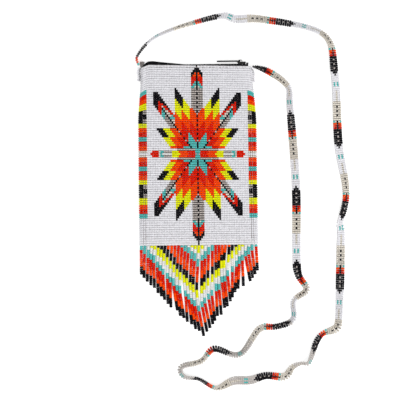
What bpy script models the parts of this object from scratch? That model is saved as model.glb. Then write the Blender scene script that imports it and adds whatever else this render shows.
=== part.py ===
# Beaded cell phone bag, lying on its back.
# Two loomed panels and two side bands make a flat pouch with a cloth lining. A zip closes its mouth,
# a long beaded strap is sewn to its sides, and strands of beads hang from its bottom edge.
# Metres. +X right across the front, +Y towards the mouth, +Z out of the front. The floor is Z = 0.

import math

import bmesh
import bpy
from mathutils import Vector
from mathutils.geometry import tessellate_polygon

# Beadwork: a bead is one column wide and one row high, and its hole runs across the panel
ROW_PITCH = 0.0022425
ROWS_ABOVE = 39
ROWS_BELOW = 40
PANEL_COLUMNS = 61
BORDER_COLUMNS = 1
BEAD_THICKNESS = 0.0022
RIDGE_DEPTH = 0.0009
CREST_SHARE = 0.5
BAND_RIDGE_DEPTH = 0.0006

# The pouch: its sides bulge out below the mouth, and it lies flatter at its bottom edge
PANEL_TOP_WIDTH = 0.1040
PANEL_BOTTOM_WIDTH = 0.1052
BAND_TOP_REACH = 0.0042
BAND_BOTTOM_REACH = 0.0072
BULGE_LENGTH = 0.060
BULGE_STEPS = 3
MOUTH_DEPTH = 0.0115
HEM_DEPTH = 0.0052
HEM_LENGTH = 0.030
HEM_STEPS = 5
BAND_FACETS = 6
GAP = 0.0003

# Cloth lining
CLOTH_THICKNESS = 0.0004
LINING_LEAST_ROOM = 0.0012

# Zip
TAPE_END_INSET = 0.0005
TAPE_THICKNESS = 0.0005
TAPE_FLAP = 0.0135
TAPE_RISE = 0.0002
TAPE_EDGE_GAP = 0.0018
TOOTH_PITCH = 0.0028
TOOTH_WIDTH = 0.0010
TOOTH_HEIGHT = 0.0014
CHAIN_WIDTH = 0.0046
TOOTH_OVERLAP = 0.00075
TOOTH_ROOT = 0.0011
FIRST_TOOTH = 0.00056
STOP_LENGTH = 0.0022
STOP_WIDTH = 0.0016

# Slider and pull
SLIDER_INSET = 0.0072
SLIDER_LENGTH = 0.0090
SLIDER_TRAVEL = 0.0770
PLATE_THICKNESS = 0.0006
RAIL_THICKNESS = 0.0006
RAIL_SETBACK = 0.00005
PLATE_CORNER = 0.0009
INNER_PLATE_WIDTH = 0.0048
WEDGE_LENGTH = 0.0032
WEDGE_WIDTH = 0.0011
WEDGE_TIP_WIDTH = 0.00044
BAIL_LENGTH = 0.0040
BAIL_WIDTH = 0.0016
BAIL_WALL = 0.0006
BAIL_OPENING = 0.00155
BAIL_SHOULDER = 0.0005
PULL_SEAT_OFFSET = 0.0014
PULL_LENGTH = 0.0232
PULL_WIDTH = 0.0050
PULL_THICKNESS = 0.0012
PULL_ARM_WIDTH = 0.0009
PULL_SLOT_LENGTH = 0.0029
PULL_BAR_THICKNESS = 0.0008
PULL_END_STEPS = 6

# Fringe
STRANDS_EACH_SIDE = 17
FRINGE_INSET = 0.00244
STRAND_RADIUS = 0.00115
STRAND_TIP_RADIUS = 0.00085
STRAND_SIDES = 5
STRAND_FALL = 0.012
FALL_STEPS = 3
LONGEST_STRAND = 0.0914
STRAND_STEP = 0.0037
MIDDLE_SWING = 0.0054
MIDDLE_SWING_PLACE = 0.5
MIDDLE_SWING_REACH = 6.5
CORNER_SWING = 0.0027
CORNER_SWING_PLACE = 14.5
CORNER_SWING_REACH = 3.2

# Strap
STRAP_WIDTH = 0.0086
STRAP_THICKNESS = 0.0020
STRAP_POINTS = 100
STRAP_CURVE_SAMPLES = 2000
STRAP_TAB_LENGTH = 0.0170
STRAP_TAB_TOP = 0.0010
STRAP_RIGHT_TAB_DROP = 0.0040

# Colours of the beads and of the zip, then roughness and metallic
FINISHES = {
    "white": ((0.78, 0.78, 0.84), 0.30, 0.0),
    "black": ((0.012, 0.011, 0.014), 0.22, 0.0),
    "red": ((0.68, 0.018, 0.008), 0.28, 0.0),
    "orange": ((1.0, 0.085, 0.004), 0.28, 0.0),
    "yellow": ((0.68, 0.77, 0.012), 0.28, 0.0),
    "turquoise": ((0.075, 0.52, 0.46), 0.30, 0.0),
    "silver": ((0.32, 0.29, 0.30), 0.25, 0.6),
    "cloth": ((0.70, 0.69, 0.68), 0.90, 0.0),
    "tape": ((0.010, 0.010, 0.012), 0.85, 0.0),
    "enamel": ((0.015, 0.015, 0.017), 0.30, 0.5),
}

# Stripes of the side bands, as the last row of each colour counted from the middle row
BAND_STRIPES = [
    (0, "white"), (1, "silver"), (3, "orange"), (5, "red"), (7, "turquoise"), (9, "red"), (11, "orange"),
    (13, "yellow"),
    (19, "black"), (21, "yellow"), (23, "orange"), (25, "red"), (27, "turquoise"),
]

# Colours of a strand from its tip upwards, with the length of each
STRAND_COLOURS = [
    ("black", 0.0090), ("orange", 0.0075), ("red", 0.0085), ("turquoise", 0.0065), ("silver", 0.0055),
    ("yellow", 0.0070), ("black", 0.0060), ("orange", 0.0080), ("red", 0.0080), ("turquoise", 0.0065),
    ("white", 0.0050), ("yellow", 0.0200),
]

# Route of the strap from its left end to its right end: x, y and how far the strip is turned on edge
STRAP_ROUTE = [
    (-0.0591, 0.1441, 80), (-0.0362, 0.1646, 68), (0.0225, 0.1822, 50), (0.0399, 0.1791, 12),
    (0.0669, 0.1785, 38), (0.1268, 0.1632, 66), (0.1382, 0.1247, 25), (0.1413, 0.0536, 12),
    (0.1483, 0.0035, 42), (0.1410, -0.0289, 44), (0.1427, -0.0349, 28), (0.1395, -0.1209, -40),
    (0.1357, -0.1327, 10), (0.1246, -0.1360, 56), (0.1170, -0.1443, 48), (0.1089, -0.1666, 64),
    (0.1027, -0.1661, 72), (0.0917, -0.1704, 50), (0.0848, -0.1799, 30), (0.0656, -0.1783, 38),
    (0.0505, -0.1831, 15), (0.0325, -0.1835, 18), (0.0158, -0.1905, 60), (-0.0015, -0.1810, 72),
    (-0.0164, -0.1787, 62), (-0.0195, -0.1686, 62), (0.0013, -0.1631, 62), (0.0139, -0.1506, 55),
    (0.0396, -0.1571, 60), (0.0595, -0.1314, 48), (0.0762, -0.1296, 60), (0.0939, -0.1226, 55),
    (0.0943, -0.1036, 60), (0.1079, -0.0928, 52), (0.0996, -0.0784, 44), (0.0978, -0.0588, 10),
    (0.0982, 0.0112, 10), (0.0929, 0.0922, 45), (0.0914, 0.1108, 58), (0.0731, 0.1256, 52),
]

# Places worked out from the sizes above
ROWS = ROWS_ABOVE + 1 + ROWS_BELOW
POUCH_LENGTH = ROWS * ROW_PITCH
TAPE_FLANGE_Y = TAPE_RISE + TAPE_THICKNESS
CHAIN_Y = TAPE_FLANGE_Y + GAP
PLATE_Y = CHAIN_Y + TOOTH_HEIGHT + GAP
BAIL_FOOT_Y = PLATE_Y + PLATE_THICKNESS
BAIL_TOP_Y = BAIL_FOOT_Y + BAIL_OPENING + BAIL_WALL
MOUTH_Y = (POUCH_LENGTH + GAP + LONGEST_STRAND - BAIL_TOP_Y) / 2
BOTTOM_Y = MOUTH_Y - POUCH_LENGTH
MIDDLE_Z = MOUTH_DEPTH / 2
TAPE_HALF_LENGTH = PANEL_TOP_WIDTH / 2 - TAPE_END_INSET
SLIDER_CENTRE_X = PANEL_TOP_WIDTH / 2 - SLIDER_INSET
CHAIN_END_X = SLIDER_CENTRE_X + SLIDER_LENGTH / 2 - WEDGE_LENGTH - 2 * GAP
CHAIN_START_X = SLIDER_CENTRE_X - SLIDER_LENGTH / 2 - SLIDER_TRAVEL
STRAND_PITCH = (PANEL_BOTTOM_WIDTH / 2 + BAND_BOTTOM_REACH - FRINGE_INSET) / STRANDS_EACH_SIDE


def blend(start, end, share):
    return start + (end - start) * share


def eased(share):
    share = min(max(share, 0.0), 1.0)
    return share * share * (3 - 2 * share)


def panel_half_width(y):
    return blend(PANEL_TOP_WIDTH, PANEL_BOTTOM_WIDTH, (MOUTH_Y - y) / POUCH_LENGTH) / 2


def pouch_half_width(y):
    return panel_half_width(y) + blend(BAND_TOP_REACH, BAND_BOTTOM_REACH, eased((MOUTH_Y - y) / BULGE_LENGTH))


def pouch_depth(y):
    """Height of the front above the floor: level down from the mouth, then rounded down to the bottom edge."""
    share = min(1.0, (y - BOTTOM_Y) / HEM_LENGTH)
    return blend(HEM_DEPTH, MOUTH_DEPTH, math.sin(share * math.pi / 2))


def row_centre(row):
    return MOUTH_Y - (row + ROWS_ABOVE + 0.5) * ROW_PITCH


def smooth_stations():
    """Places along the pouch, from its mouth down, that are enough for its plain inner surfaces."""
    bulge = [MOUTH_Y - BULGE_LENGTH * step / BULGE_STEPS for step in range(BULGE_STEPS + 1)]
    hem = [BOTTOM_Y + HEM_LENGTH * (1 - step / HEM_STEPS) for step in range(HEM_STEPS + 1)]
    return bulge + hem


# Colours of the beads

def compass_feather(across, along):
    """One of the two long feathers that stand up and down from the star."""
    if across == 0:
        return "black" if along >= 30 or along % 2 else "silver"
    if along >= 37:
        return "black" if across <= 39 - along else None
    if across > min(3, along - 18):
        return None
    if along >= 35:
        return "black" if across >= 38 - along else "orange"
    if along >= 31:
        return "turquoise" if across <= 33 - along else "red"
    return "turquoise" if along == 30 and across > 1 else "silver"


def side_feather(across, along):
    """The two feathers that lie along the middle rows, drawn by steps of colour away from the centre."""
    steps = [(along, "turquoise"), (1, "black"), (5 + along, "red"), (9 + along, "orange"), (15, "yellow"),
             (19, "silver"), (21, "turquoise"), (22 - along, "silver"), (27 - along, "red")]
    return next((colour for last, colour in steps if across <= last), None)


def star_body(across, along):
    """The square star: red with turquoise petals, edged with orange, yellow and black points."""
    if along <= 9 and max(1, along - 4) <= across <= min(5, along):
        return "turquoise"
    if across > min(13, along) or along > 29:
        return None
    if along >= 25:
        return "black" if across >= along - 16 else None
    if along >= 20:
        if along > 20 and 9 <= across <= along - 12:
            return "black"
        if across >= max(5, along - 16):
            return "yellow"
        return "orange" if along == 20 else None
    if along >= 16:
        return "yellow" if 5 <= across <= along - 11 or 10 <= across <= along - 6 else "orange"
    if along >= 11:
        return "red" if along - 10 <= across <= 4 or along - 5 <= across <= 9 else "orange"
    return "red"


def side_tier(across, along):
    """Three blocks of four columns outside the slanting spine, which change colour every four rows."""
    colours = ["turquoise", "red", "orange", "yellow", "black"]
    block = (across - along - 2) // 4
    return colours[along // 4 + block] if 0 <= block <= 2 else None


def corner_feather(across, along):
    """The feather that points at each corner, on both sides of its spine."""
    offset = across - along
    if not (-3 <= offset <= (4 if along >= 17 else 3) and across <= 25 and 12 <= along <= 27):
        return None
    if along >= 24:
        return "black"
    if offset >= 2:
        return next(colour for least, colour in [(24, "black"), (22, "red"), (20, "turquoise"), (0, "silver")]
                    if across >= least)
    # Rows from which the inner side is black, and red, for each distance from the spine
    black_from, red_from = {-3: (20, 17), -2: (22, 18), -1: (24, 20), 0: (23, 22), 1: (23, 21)}[offset]
    if along >= red_from:
        return "black" if along >= black_from else "red"
    return "turquoise" if along in (16, 20) or offset == -2 else "silver"


def star_colour(column, row):
    """Colour of one bead of the front, by its place counted from the centre of the star."""
    across, along = abs(column), abs(row)
    if across > PANEL_COLUMNS // 2 - BORDER_COLUMNS:
        return band_colour(row)
    if along <= 1:
        return side_feather(across, along) or "white"
    if along == 2:
        return "turquoise" if across <= 1 else ("silver" if across <= 12 else "white")
    if across == along + 1 and along <= 20:
        return "silver" if along in (6, 8, 10) else "black"
    if along >= 19 and compass_feather(across, along):
        return compass_feather(across, along)
    if across == 0 and along <= 18:
        return "black" if along <= 5 or (along % 2 == 0 and along < 18) else "silver"
    if across > along + 1 and along <= 11:
        return side_tier(across, along) or "white"
    return star_body(across, along) or corner_feather(across, along) or "white"


def colour_runs(row):
    """Stretches of one colour along a row of the front, as first and last column edge with the colour."""
    half = PANEL_COLUMNS // 2
    runs = []
    for column in range(-half, half + 1):
        colour = star_colour(column, row)
        if runs and runs[-1][2] == colour:
            runs[-1][1] = column + 0.5
        else:
            runs.append([column - 0.5, column + 0.5, colour])
    return runs


def band_colour(row):
    return next((colour for last, colour in BAND_STRIPES if abs(row) <= last), "white")


# Building helpers

def finish(name):
    """The material of that name, made the first time that it is asked for."""
    material = bpy.data.materials.get(name)
    if material:
        return material
    colour, roughness, metallic = FINISHES[name]
    material = bpy.data.materials.new(name)
    material.use_nodes = True
    material.diffuse_color = (*colour, 1.0)
    shader = material.node_tree.nodes["Principled BSDF"]
    shader.inputs["Base Color"].default_value = (*colour, 1.0)
    shader.inputs["Roughness"].default_value = roughness
    shader.inputs["Metallic"].default_value = metallic
    return material


def set_parent(thing, parent, origin):
    """Put a thing's origin at a place in the world, under a parent that isn't turned."""
    thing.parent = parent
    thing.location = origin
    while parent:
        thing.location -= parent.location
        parent = parent.parent


def add_object(name, form, finishes, parent=None, origin=Vector()):
    """Close the bmesh into a named object whose faces point out. Its origin goes where it turns or slides."""
    bmesh.ops.recalc_face_normals(form, faces=form.faces)
    bmesh.ops.translate(form, verts=form.verts, vec=-origin)
    mesh = bpy.data.meshes.new(name)
    form.to_mesh(mesh)
    form.free()
    for finish_name in finishes:
        mesh.materials.append(finish(finish_name))
    thing = bpy.data.objects.new(name, mesh)
    bpy.context.collection.objects.link(thing)
    set_parent(thing, parent, origin)
    return thing


def add_empty(name, location, parent=None):
    empty = bpy.data.objects.new(name, None)
    empty.empty_display_size = 0.01
    bpy.context.collection.objects.link(empty)
    set_parent(empty, parent, location)
    return empty


def prism(loops, low, high, place):
    """A plate with the outline loops[0] and holes after it, from low to high, where place(u, v, w) is a point."""
    form = bmesh.new()
    flat = [point for loop in loops for point in loop]
    layers = [[form.verts.new(place(u, v, level)) for u, v in flat] for level in (low, high)]
    for triangle in tessellate_polygon([[Vector((u, v, 0)) for u, v in loop] for loop in loops]):
        form.faces.new([layers[0][index] for index in triangle])
        form.faces.new([layers[1][index] for index in reversed(triangle)])
    start = 0
    for loop in loops:
        for index in range(len(loop)):
            here, there = start + index, start + (index + 1) % len(loop)
            form.faces.new([layers[0][here], layers[0][there], layers[1][there], layers[1][here]])
        start += len(loop)
    return form


def along_x(y, z, x):
    return (x, y, z)


def along_y(x, z, y):
    return (x, y, z)


def along_z(x, y, z):
    return (x, y, z)


def box_outline(low_u, high_u, low_v, high_v):
    return [(low_u, low_v), (high_u, low_v), (high_u, high_v), (low_u, high_v)]


def unite(name, forms, finish_name, parent, origin):
    """One solid from several overlapping ones."""
    pieces = [add_object(f"{name}_{index}", form, [finish_name]) for index, form in enumerate(forms)]
    for piece in pieces[1:]:
        union = pieces[0].modifiers.new("union", "BOOLEAN")
        union.operation = "UNION"
        union.solver = "EXACT"
        union.object = piece
    evaluated = pieces[0].evaluated_get(bpy.context.evaluated_depsgraph_get())
    form = bmesh.new()
    form.from_mesh(evaluated.to_mesh())
    evaluated.to_mesh_clear()
    for piece in pieces:
        bpy.data.objects.remove(piece)
    return add_object(name, form, [finish_name], parent, origin)


# Pouch

def ridged_panel(name, runs_of, height, inner_height, inward):
    """A loomed panel: each row of beads is a ridge with a flat crest, cut into one face for each run of colour."""
    form = bmesh.new()
    edges = (-PANEL_COLUMNS / 2, PANEL_COLUMNS / 2)
    thread = [(*edges, "white")]

    def add_line(y, z, cuts=edges):
        half = panel_half_width(y)
        return {cut: form.verts.new((cut / edges[1] * half, y, z)) for cut in cuts}

    outer, strips = [], []
    for row in range(-ROWS_ABOVE, ROWS_BELOW + 1):
        runs = runs_of(row)
        cuts = [edges[0]] + [run[1] for run in runs]
        top = row_centre(row) + ROW_PITCH / 2
        half_crest = ROW_PITCH * CREST_SHARE / 2
        outer.append(add_line(top, height(top) + inward * RIDGE_DEPTH))
        for y in (row_centre(row) + half_crest, row_centre(row) - half_crest):
            outer.append(add_line(y, height(y), cuts))
        strips += [thread, runs, thread]
    outer.append(add_line(BOTTOM_Y, height(BOTTOM_Y) + inward * RIDGE_DEPTH))

    colours = []
    for upper, lower, runs in zip(outer, outer[1:], strips):
        for first, last, colour in runs:
            if colour not in colours:
                colours.append(colour)
            above = [vert for cut, vert in upper.items() if first <= cut <= last]
            below = [vert for cut, vert in lower.items() if first <= cut <= last]
            form.faces.new(above + below[::-1]).material_index = colours.index(colour)

    inner = [add_line(y, inner_height(y)) for y in smooth_stations()]
    for upper, lower in zip(inner, inner[1:]):
        form.faces.new([upper[edges[0]], lower[edges[0]], lower[edges[1]], upper[edges[1]]])
    for edge in edges:
        form.faces.new([line[edge] for line in outer] + [line[edge] for line in reversed(inner)])
    for outside, inside in ((outer[0], inner[0]), (outer[-1], inner[-1])):
        form.faces.new([outside[edges[0]], outside[edges[1]], inside[edges[1]], inside[edges[0]]])
    add_object(name, form, colours)


def make_front_panel():
    ridged_panel("front_panel", colour_runs, pouch_depth, lambda y: pouch_depth(y) - BEAD_THICKNESS, -1)


def make_back_panel():
    whole_row = [(-PANEL_COLUMNS / 2, PANEL_COLUMNS / 2, "white")]
    ridged_panel("back_panel", lambda row: whole_row, lambda y: 0.0, lambda y: BEAD_THICKNESS, 1)


def side_arc(y, inset):
    """Half of the pouch's rounded side at y, from back to front, moved in by inset. It is on the right."""
    centre = panel_half_width(y) + GAP
    across = pouch_half_width(y) - centre - inset
    deep = pouch_depth(y) / 2 - inset
    middle = pouch_depth(y) / 2
    angles = [math.pi * (step / BAND_FACETS - 0.5) for step in range(BAND_FACETS + 1)]
    return [(centre + across * math.cos(angle), y, middle + deep * math.sin(angle)) for angle in angles]


def add_bent_quad(form, upper_back, upper_front, lower_front, lower_back):
    """Two triangles. Surfaces that lie one inside the other are all split this way, so they keep their gap."""
    form.faces.new([upper_back, lower_back, lower_front])
    form.faces.new([upper_back, lower_front, upper_front])


def make_side_band(name, side):
    """The beads that go round one side of the pouch, in stripes that follow the rows."""
    form = bmesh.new()
    lines, colours, stripe_of = [], [], []
    for row in range(-ROWS_ABOVE, ROWS_BELOW + 1):
        colour = band_colour(row)
        if colour not in colours:
            colours.append(colour)
        lines += [(row_centre(row) + ROW_PITCH / 2, BAND_RIDGE_DEPTH), (row_centre(row), 0.0)]
        stripe_of += [colours.index(colour)] * 2
    lines.append((BOTTOM_Y, BAND_RIDGE_DEPTH))

    def add_line(y, inset):
        return [form.verts.new((side * x, y, z)) for x, y, z in side_arc(y, inset)]

    outer = [add_line(y, inset) for y, inset in lines]
    inner = [add_line(y, BEAD_THICKNESS) for y in smooth_stations()]
    for upper, lower, stripe in zip(outer, outer[1:], stripe_of):
        for index in range(BAND_FACETS):
            face = form.faces.new([upper[index], upper[index + 1], lower[index + 1], lower[index]])
            face.material_index = stripe
    for upper, lower in zip(inner, inner[1:]):
        for index in range(BAND_FACETS):
            add_bent_quad(form, upper[index], upper[index + 1], lower[index + 1], lower[index])
    for edge in (0, BAND_FACETS):
        form.faces.new([line[edge] for line in outer] + [line[edge] for line in reversed(inner)])
    for outside, inside in ((outer[0], inner[0]), (outer[-1], inner[-1])):
        for index in range(BAND_FACETS):
            form.faces.new([outside[index], outside[index + 1], inside[index + 1], inside[index]])
    add_object(name, form, colours)


def make_lining():
    """A cloth bag inside the beadwork, open at the mouth, where the flaps of the zip tape carry on from it."""
    outer_inset = BEAD_THICKNESS + GAP
    inner_inset = outer_inset + CLOTH_THICKNESS
    top = MOUTH_Y + TAPE_FLANGE_Y - TAPE_FLAP - TAPE_THICKNESS - GAP
    room = [y for y in smooth_stations()[1:] if pouch_depth(y) / 2 - inner_inset >= LINING_LEAST_ROOM / 2]
    form = bmesh.new()

    def add_loop(y, inset):
        right = side_arc(y, inset)
        return [form.verts.new(point) for point in right + [(-x, y, z) for x, y, z in reversed(right)]]

    def join(upper, lower):
        for index in range(len(upper)):
            after = (index + 1) % len(upper)
            back, front = (index, after) if index <= BAND_FACETS else (after, index)
            add_bent_quad(form, upper[back], upper[front], lower[front], lower[back])

    outside = [add_loop(y, outer_inset) for y in [top] + room]
    floor_y = room[-1] + CLOTH_THICKNESS
    inside = [add_loop(y, inner_inset) for y in [top] + room[:-1] + [floor_y]]
    for loops in (outside, inside):
        for upper, lower in zip(loops, loops[1:]):
            join(upper, lower)
        form.faces.new(loops[-1])
    join(outside[0], inside[0])
    add_object("lining", form, ["cloth"])


# Zip

def make_zip_tape(name, side):
    """A tape with its flap against the inside of one panel, bent over towards the teeth at the mouth."""
    flap_z = MIDDLE_Z - BEAD_THICKNESS - GAP
    edge_z = TAPE_EDGE_GAP / 2
    low, high = TAPE_RISE, TAPE_FLANGE_Y
    section = [
        (high, edge_z), (high, flap_z), (high - TAPE_THICKNESS - TAPE_FLAP, flap_z),
        (high - TAPE_THICKNESS - TAPE_FLAP, flap_z - TAPE_THICKNESS), (low, flap_z - TAPE_THICKNESS), (low, edge_z),
    ]
    outline = [(MOUTH_Y + y, MIDDLE_Z + side * z) for y, z in section]
    add_object(name, prism([outline], -TAPE_HALF_LENGTH, TAPE_HALF_LENGTH, along_x), ["tape"])


def make_zip_teeth(name, side, first):
    """A comb of teeth that stand between the teeth of the other tape."""
    root, tip, back = TOOTH_ROOT, -TOOTH_OVERLAP, CHAIN_WIDTH / 2
    outline = [(CHAIN_START_X, back), (CHAIN_START_X, root)]
    x = CHAIN_START_X + first
    while x + TOOTH_WIDTH < CHAIN_END_X:
        outline += [(x, root), (x, tip), (x + TOOTH_WIDTH, tip), (x + TOOTH_WIDTH, root)]
        x += TOOTH_PITCH
    outline += [(CHAIN_END_X, root), (CHAIN_END_X, back)]
    outline = [(x, MIDDLE_Z + side * z) for x, z in outline]
    low = MOUTH_Y + CHAIN_Y
    add_object(name, prism([outline], low, low + TOOTH_HEIGHT, along_y), ["enamel"])


def make_zip_stops():
    low = MOUTH_Y + CHAIN_Y
    high = low + TOOTH_HEIGHT
    end = CHAIN_START_X - GAP
    half = CHAIN_WIDTH / 2
    bottom = box_outline(end - STOP_LENGTH, end, MIDDLE_Z - half, MIDDLE_Z + half)
    add_object("zip_bottom_stop", prism([bottom], low, high, along_y), ["enamel"])
    start = SLIDER_CENTRE_X + SLIDER_LENGTH / 2 + GAP
    for name, side in (("zip_top_stop_front", 1), ("zip_top_stop_back", -1)):
        inner, outer = MIDDLE_Z + side * (half - STOP_WIDTH), MIDDLE_Z + side * half
        stop = box_outline(start, start + STOP_LENGTH, inner, outer)
        add_object(name, prism([stop], low, high, along_y), ["enamel"])


def rounded_end_outline(left, right, half_width, corner):
    """A plate's outline in x and z about the middle of the chain, with its four corners cut."""
    return [
        (left + corner, MIDDLE_Z - half_width), (right - corner, MIDDLE_Z - half_width),
        (right, MIDDLE_Z - half_width + corner), (right, MIDDLE_Z + half_width - corner),
        (right - corner, MIDDLE_Z + half_width), (left + corner, MIDDLE_Z + half_width),
        (left, MIDDLE_Z + half_width - corner), (left, MIDDLE_Z - half_width + corner),
    ]


def make_zip_slider(axis):
    """Two plates with a wedge between them at the nose, rails that turn down over the chain, and the bail."""
    left = SLIDER_CENTRE_X - SLIDER_LENGTH / 2
    right = SLIDER_CENTRE_X + SLIDER_LENGTH / 2
    plate_low = MOUTH_Y + PLATE_Y
    plate_high = plate_low + PLATE_THICKNESS
    inner_high = MOUTH_Y + TAPE_RISE - GAP
    rail_inner = CHAIN_WIDTH / 2 + GAP
    half_width = rail_inner + RAIL_THICKNESS
    lap = PLATE_THICKNESS / 2
    outer_plate = rounded_end_outline(left, right, half_width, PLATE_CORNER)
    inner_plate = rounded_end_outline(left, right, INNER_PLATE_WIDTH / 2, PLATE_CORNER)
    wedge_tip, wedge_end = right - WEDGE_LENGTH, right - GAP
    wedge = [
        (wedge_tip, MIDDLE_Z - WEDGE_TIP_WIDTH / 2), (wedge_end, MIDDLE_Z - WEDGE_WIDTH / 2),
        (wedge_end, MIDDLE_Z + WEDGE_WIDTH / 2), (wedge_tip, MIDDLE_Z + WEDGE_TIP_WIDTH / 2),
    ]
    forms = [
        prism([outer_plate], plate_low, plate_high, along_y),
        prism([inner_plate], inner_high - PLATE_THICKNESS, inner_high, along_y),
        prism([wedge], inner_high - lap, plate_low + lap, along_y),
    ]
    rail_outer = half_width - RAIL_SETBACK
    rail_left, rail_right = left + PLATE_CORNER + RAIL_SETBACK, right - PLATE_CORNER - RAIL_SETBACK
    for side in (-1, 1):
        rail = box_outline(rail_left, rail_right, MIDDLE_Z + side * rail_inner, MIDDLE_Z + side * rail_outer)
        forms.append(prism([rail], MOUTH_Y + CHAIN_Y + GAP, plate_low + lap, along_y))
    foot, window_top = MOUTH_Y + BAIL_FOOT_Y, MOUTH_Y + BAIL_FOOT_Y + BAIL_OPENING
    half = BAIL_LENGTH / 2
    bail_x = axis.x + BAIL_WALL / 2
    shoulder = window_top - BAIL_SHOULDER / 2
    bail = [
        (bail_x - half, foot - lap), (bail_x - half + BAIL_WALL, foot - lap), (bail_x - half + BAIL_WALL, window_top),
        (bail_x + half - BAIL_WALL, window_top), (bail_x + half - BAIL_WALL, foot - lap), (bail_x + half, foot - lap),
        (bail_x + half, shoulder), (bail_x + half - BAIL_SHOULDER, window_top + BAIL_WALL),
        (bail_x - half + BAIL_SHOULDER, window_top + BAIL_WALL), (bail_x - half, shoulder),
    ]
    forms.append(prism([bail], MIDDLE_Z - BAIL_WIDTH / 2, MIDDLE_Z + BAIL_WIDTH / 2, along_z))
    origin = Vector((SLIDER_CENTRE_X, MOUTH_Y + PLATE_Y, MIDDLE_Z))
    return unite("zip_slider", forms, "enamel", None, origin)


def make_zip_pull(axis, carrier):
    """A long thin tab with a round end. Its slot leaves a cross bar, which turns under the bail."""
    bar = PULL_BAR_THICKNESS / 2
    arm_inner = BAIL_WIDTH / 2 + GAP
    half = PULL_WIDTH / 2
    neck = arm_inner + PULL_ARM_WIDTH
    end_centre = axis.x - PULL_LENGTH + half
    slot_end = axis.x - PULL_SLOT_LENGTH
    turns = [math.pi * (step / PULL_END_STEPS + 0.5) for step in range(PULL_END_STEPS + 1)]
    outline = [(axis.x + bar, -neck), (axis.x + bar, neck), (slot_end, neck), (slot_end - neck, half)]
    outline += [(end_centre + half * math.cos(turn), half * math.sin(turn)) for turn in turns]
    outline += [(slot_end - neck, -half), (slot_end, -neck)]
    slot = box_outline(slot_end, axis.x - bar, -arm_inner, arm_inner)
    loops = [[(x, MIDDLE_Z + z) for x, z in loop] for loop in (outline, slot)]
    form = prism(loops, axis.y - PULL_THICKNESS / 2, axis.y + PULL_THICKNESS / 2, along_y)
    add_object("zip_pull", form, ["enamel"], carrier, axis)


def make_zip():
    make_zip_tape("zip_tape_front", 1)
    make_zip_tape("zip_tape_back", -1)
    make_zip_teeth("zip_teeth_front", 1, FIRST_TOOTH)
    make_zip_teeth("zip_teeth_back", -1, FIRST_TOOTH + TOOTH_PITCH / 2)
    make_zip_stops()
    axis = Vector((SLIDER_CENTRE_X - PULL_SEAT_OFFSET, MOUTH_Y + BAIL_FOOT_Y + BAIL_OPENING / 2, MIDDLE_Z))
    slider = make_zip_slider(axis)
    hinge = add_empty("pull_hinge", axis, slider)
    make_zip_pull(axis, hinge)


# Fringe

def strand_length(place):
    return LONGEST_STRAND - STRAND_STEP * abs(place)


def strand_swing(place):
    """How far a tip has swung to the right: most at the middle, and again near the right corner."""
    middle = MIDDLE_SWING * math.exp(-((place - MIDDLE_SWING_PLACE) / MIDDLE_SWING_REACH) ** 2)
    corner = CORNER_SWING * math.exp(-((place - CORNER_SWING_PLACE) / CORNER_SWING_REACH) ** 2)
    return middle + corner


def strand_levels(length):
    """Distances from the tip at which the colour changes, with the colour that starts there."""
    levels, reach = [], 0.0
    for colour, part in STRAND_COLOURS:
        levels.append((reach, colour))
        reach += part
        if reach >= length - STRAND_RADIUS:
            break
    return levels


def strand_point(place, reach):
    """A point on the middle line of a strand: it drops from the pouch to the floor and lies there."""
    length = strand_length(place)
    share = 1 - reach / length
    drop = max(0.0, 1 - (length - reach) / STRAND_FALL)
    x = place * STRAND_PITCH + strand_swing(place) * share
    z = blend(STRAND_RADIUS, HEM_DEPTH / 2, drop * drop * (3 - 2 * drop))
    return Vector((x, BOTTOM_Y - GAP - length * share, z))


def make_strand(place):
    """One string of beads, with a ring at each change of colour and at each step of its fall."""
    length = strand_length(place)
    levels = strand_levels(length)
    fall = [length - STRAND_FALL * step / FALL_STEPS for step in range(FALL_STEPS + 1)]
    reaches = sorted({reach for reach, _ in levels} | set(fall))
    # One corner points up, so the strand has a flat face on the floor
    turns = [math.pi / 2 + math.tau * step / STRAND_SIDES for step in range(STRAND_SIDES)]
    side = Vector((1, 0, 0))
    form = bmesh.new()
    loops = []
    for reach in reaches:
        radius = STRAND_RADIUS if reach else STRAND_TIP_RADIUS
        centre = strand_point(place, reach)
        up = Vector((0, 0, 1))
        loops.append([form.verts.new(centre + side * math.cos(turn) * radius + up * math.sin(turn) * radius)
                      for turn in turns])
    colours = []
    for reach, lower, upper in zip(reaches, loops, loops[1:]):
        colour = [name for start, name in levels if start <= reach][-1]
        if colour not in colours:
            colours.append(colour)
        for index in range(STRAND_SIDES):
            after = (index + 1) % STRAND_SIDES
            face = form.faces.new([lower[index], lower[after], upper[after], upper[index]])
            face.material_index = colours.index(colour)
    form.faces.new(loops[0])
    form.faces.new(loops[-1]).material_index = len(colours) - 1
    add_object(f"fringe_strand_{place + STRANDS_EACH_SIDE + 1:02d}", form, colours)


# Strap

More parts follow.
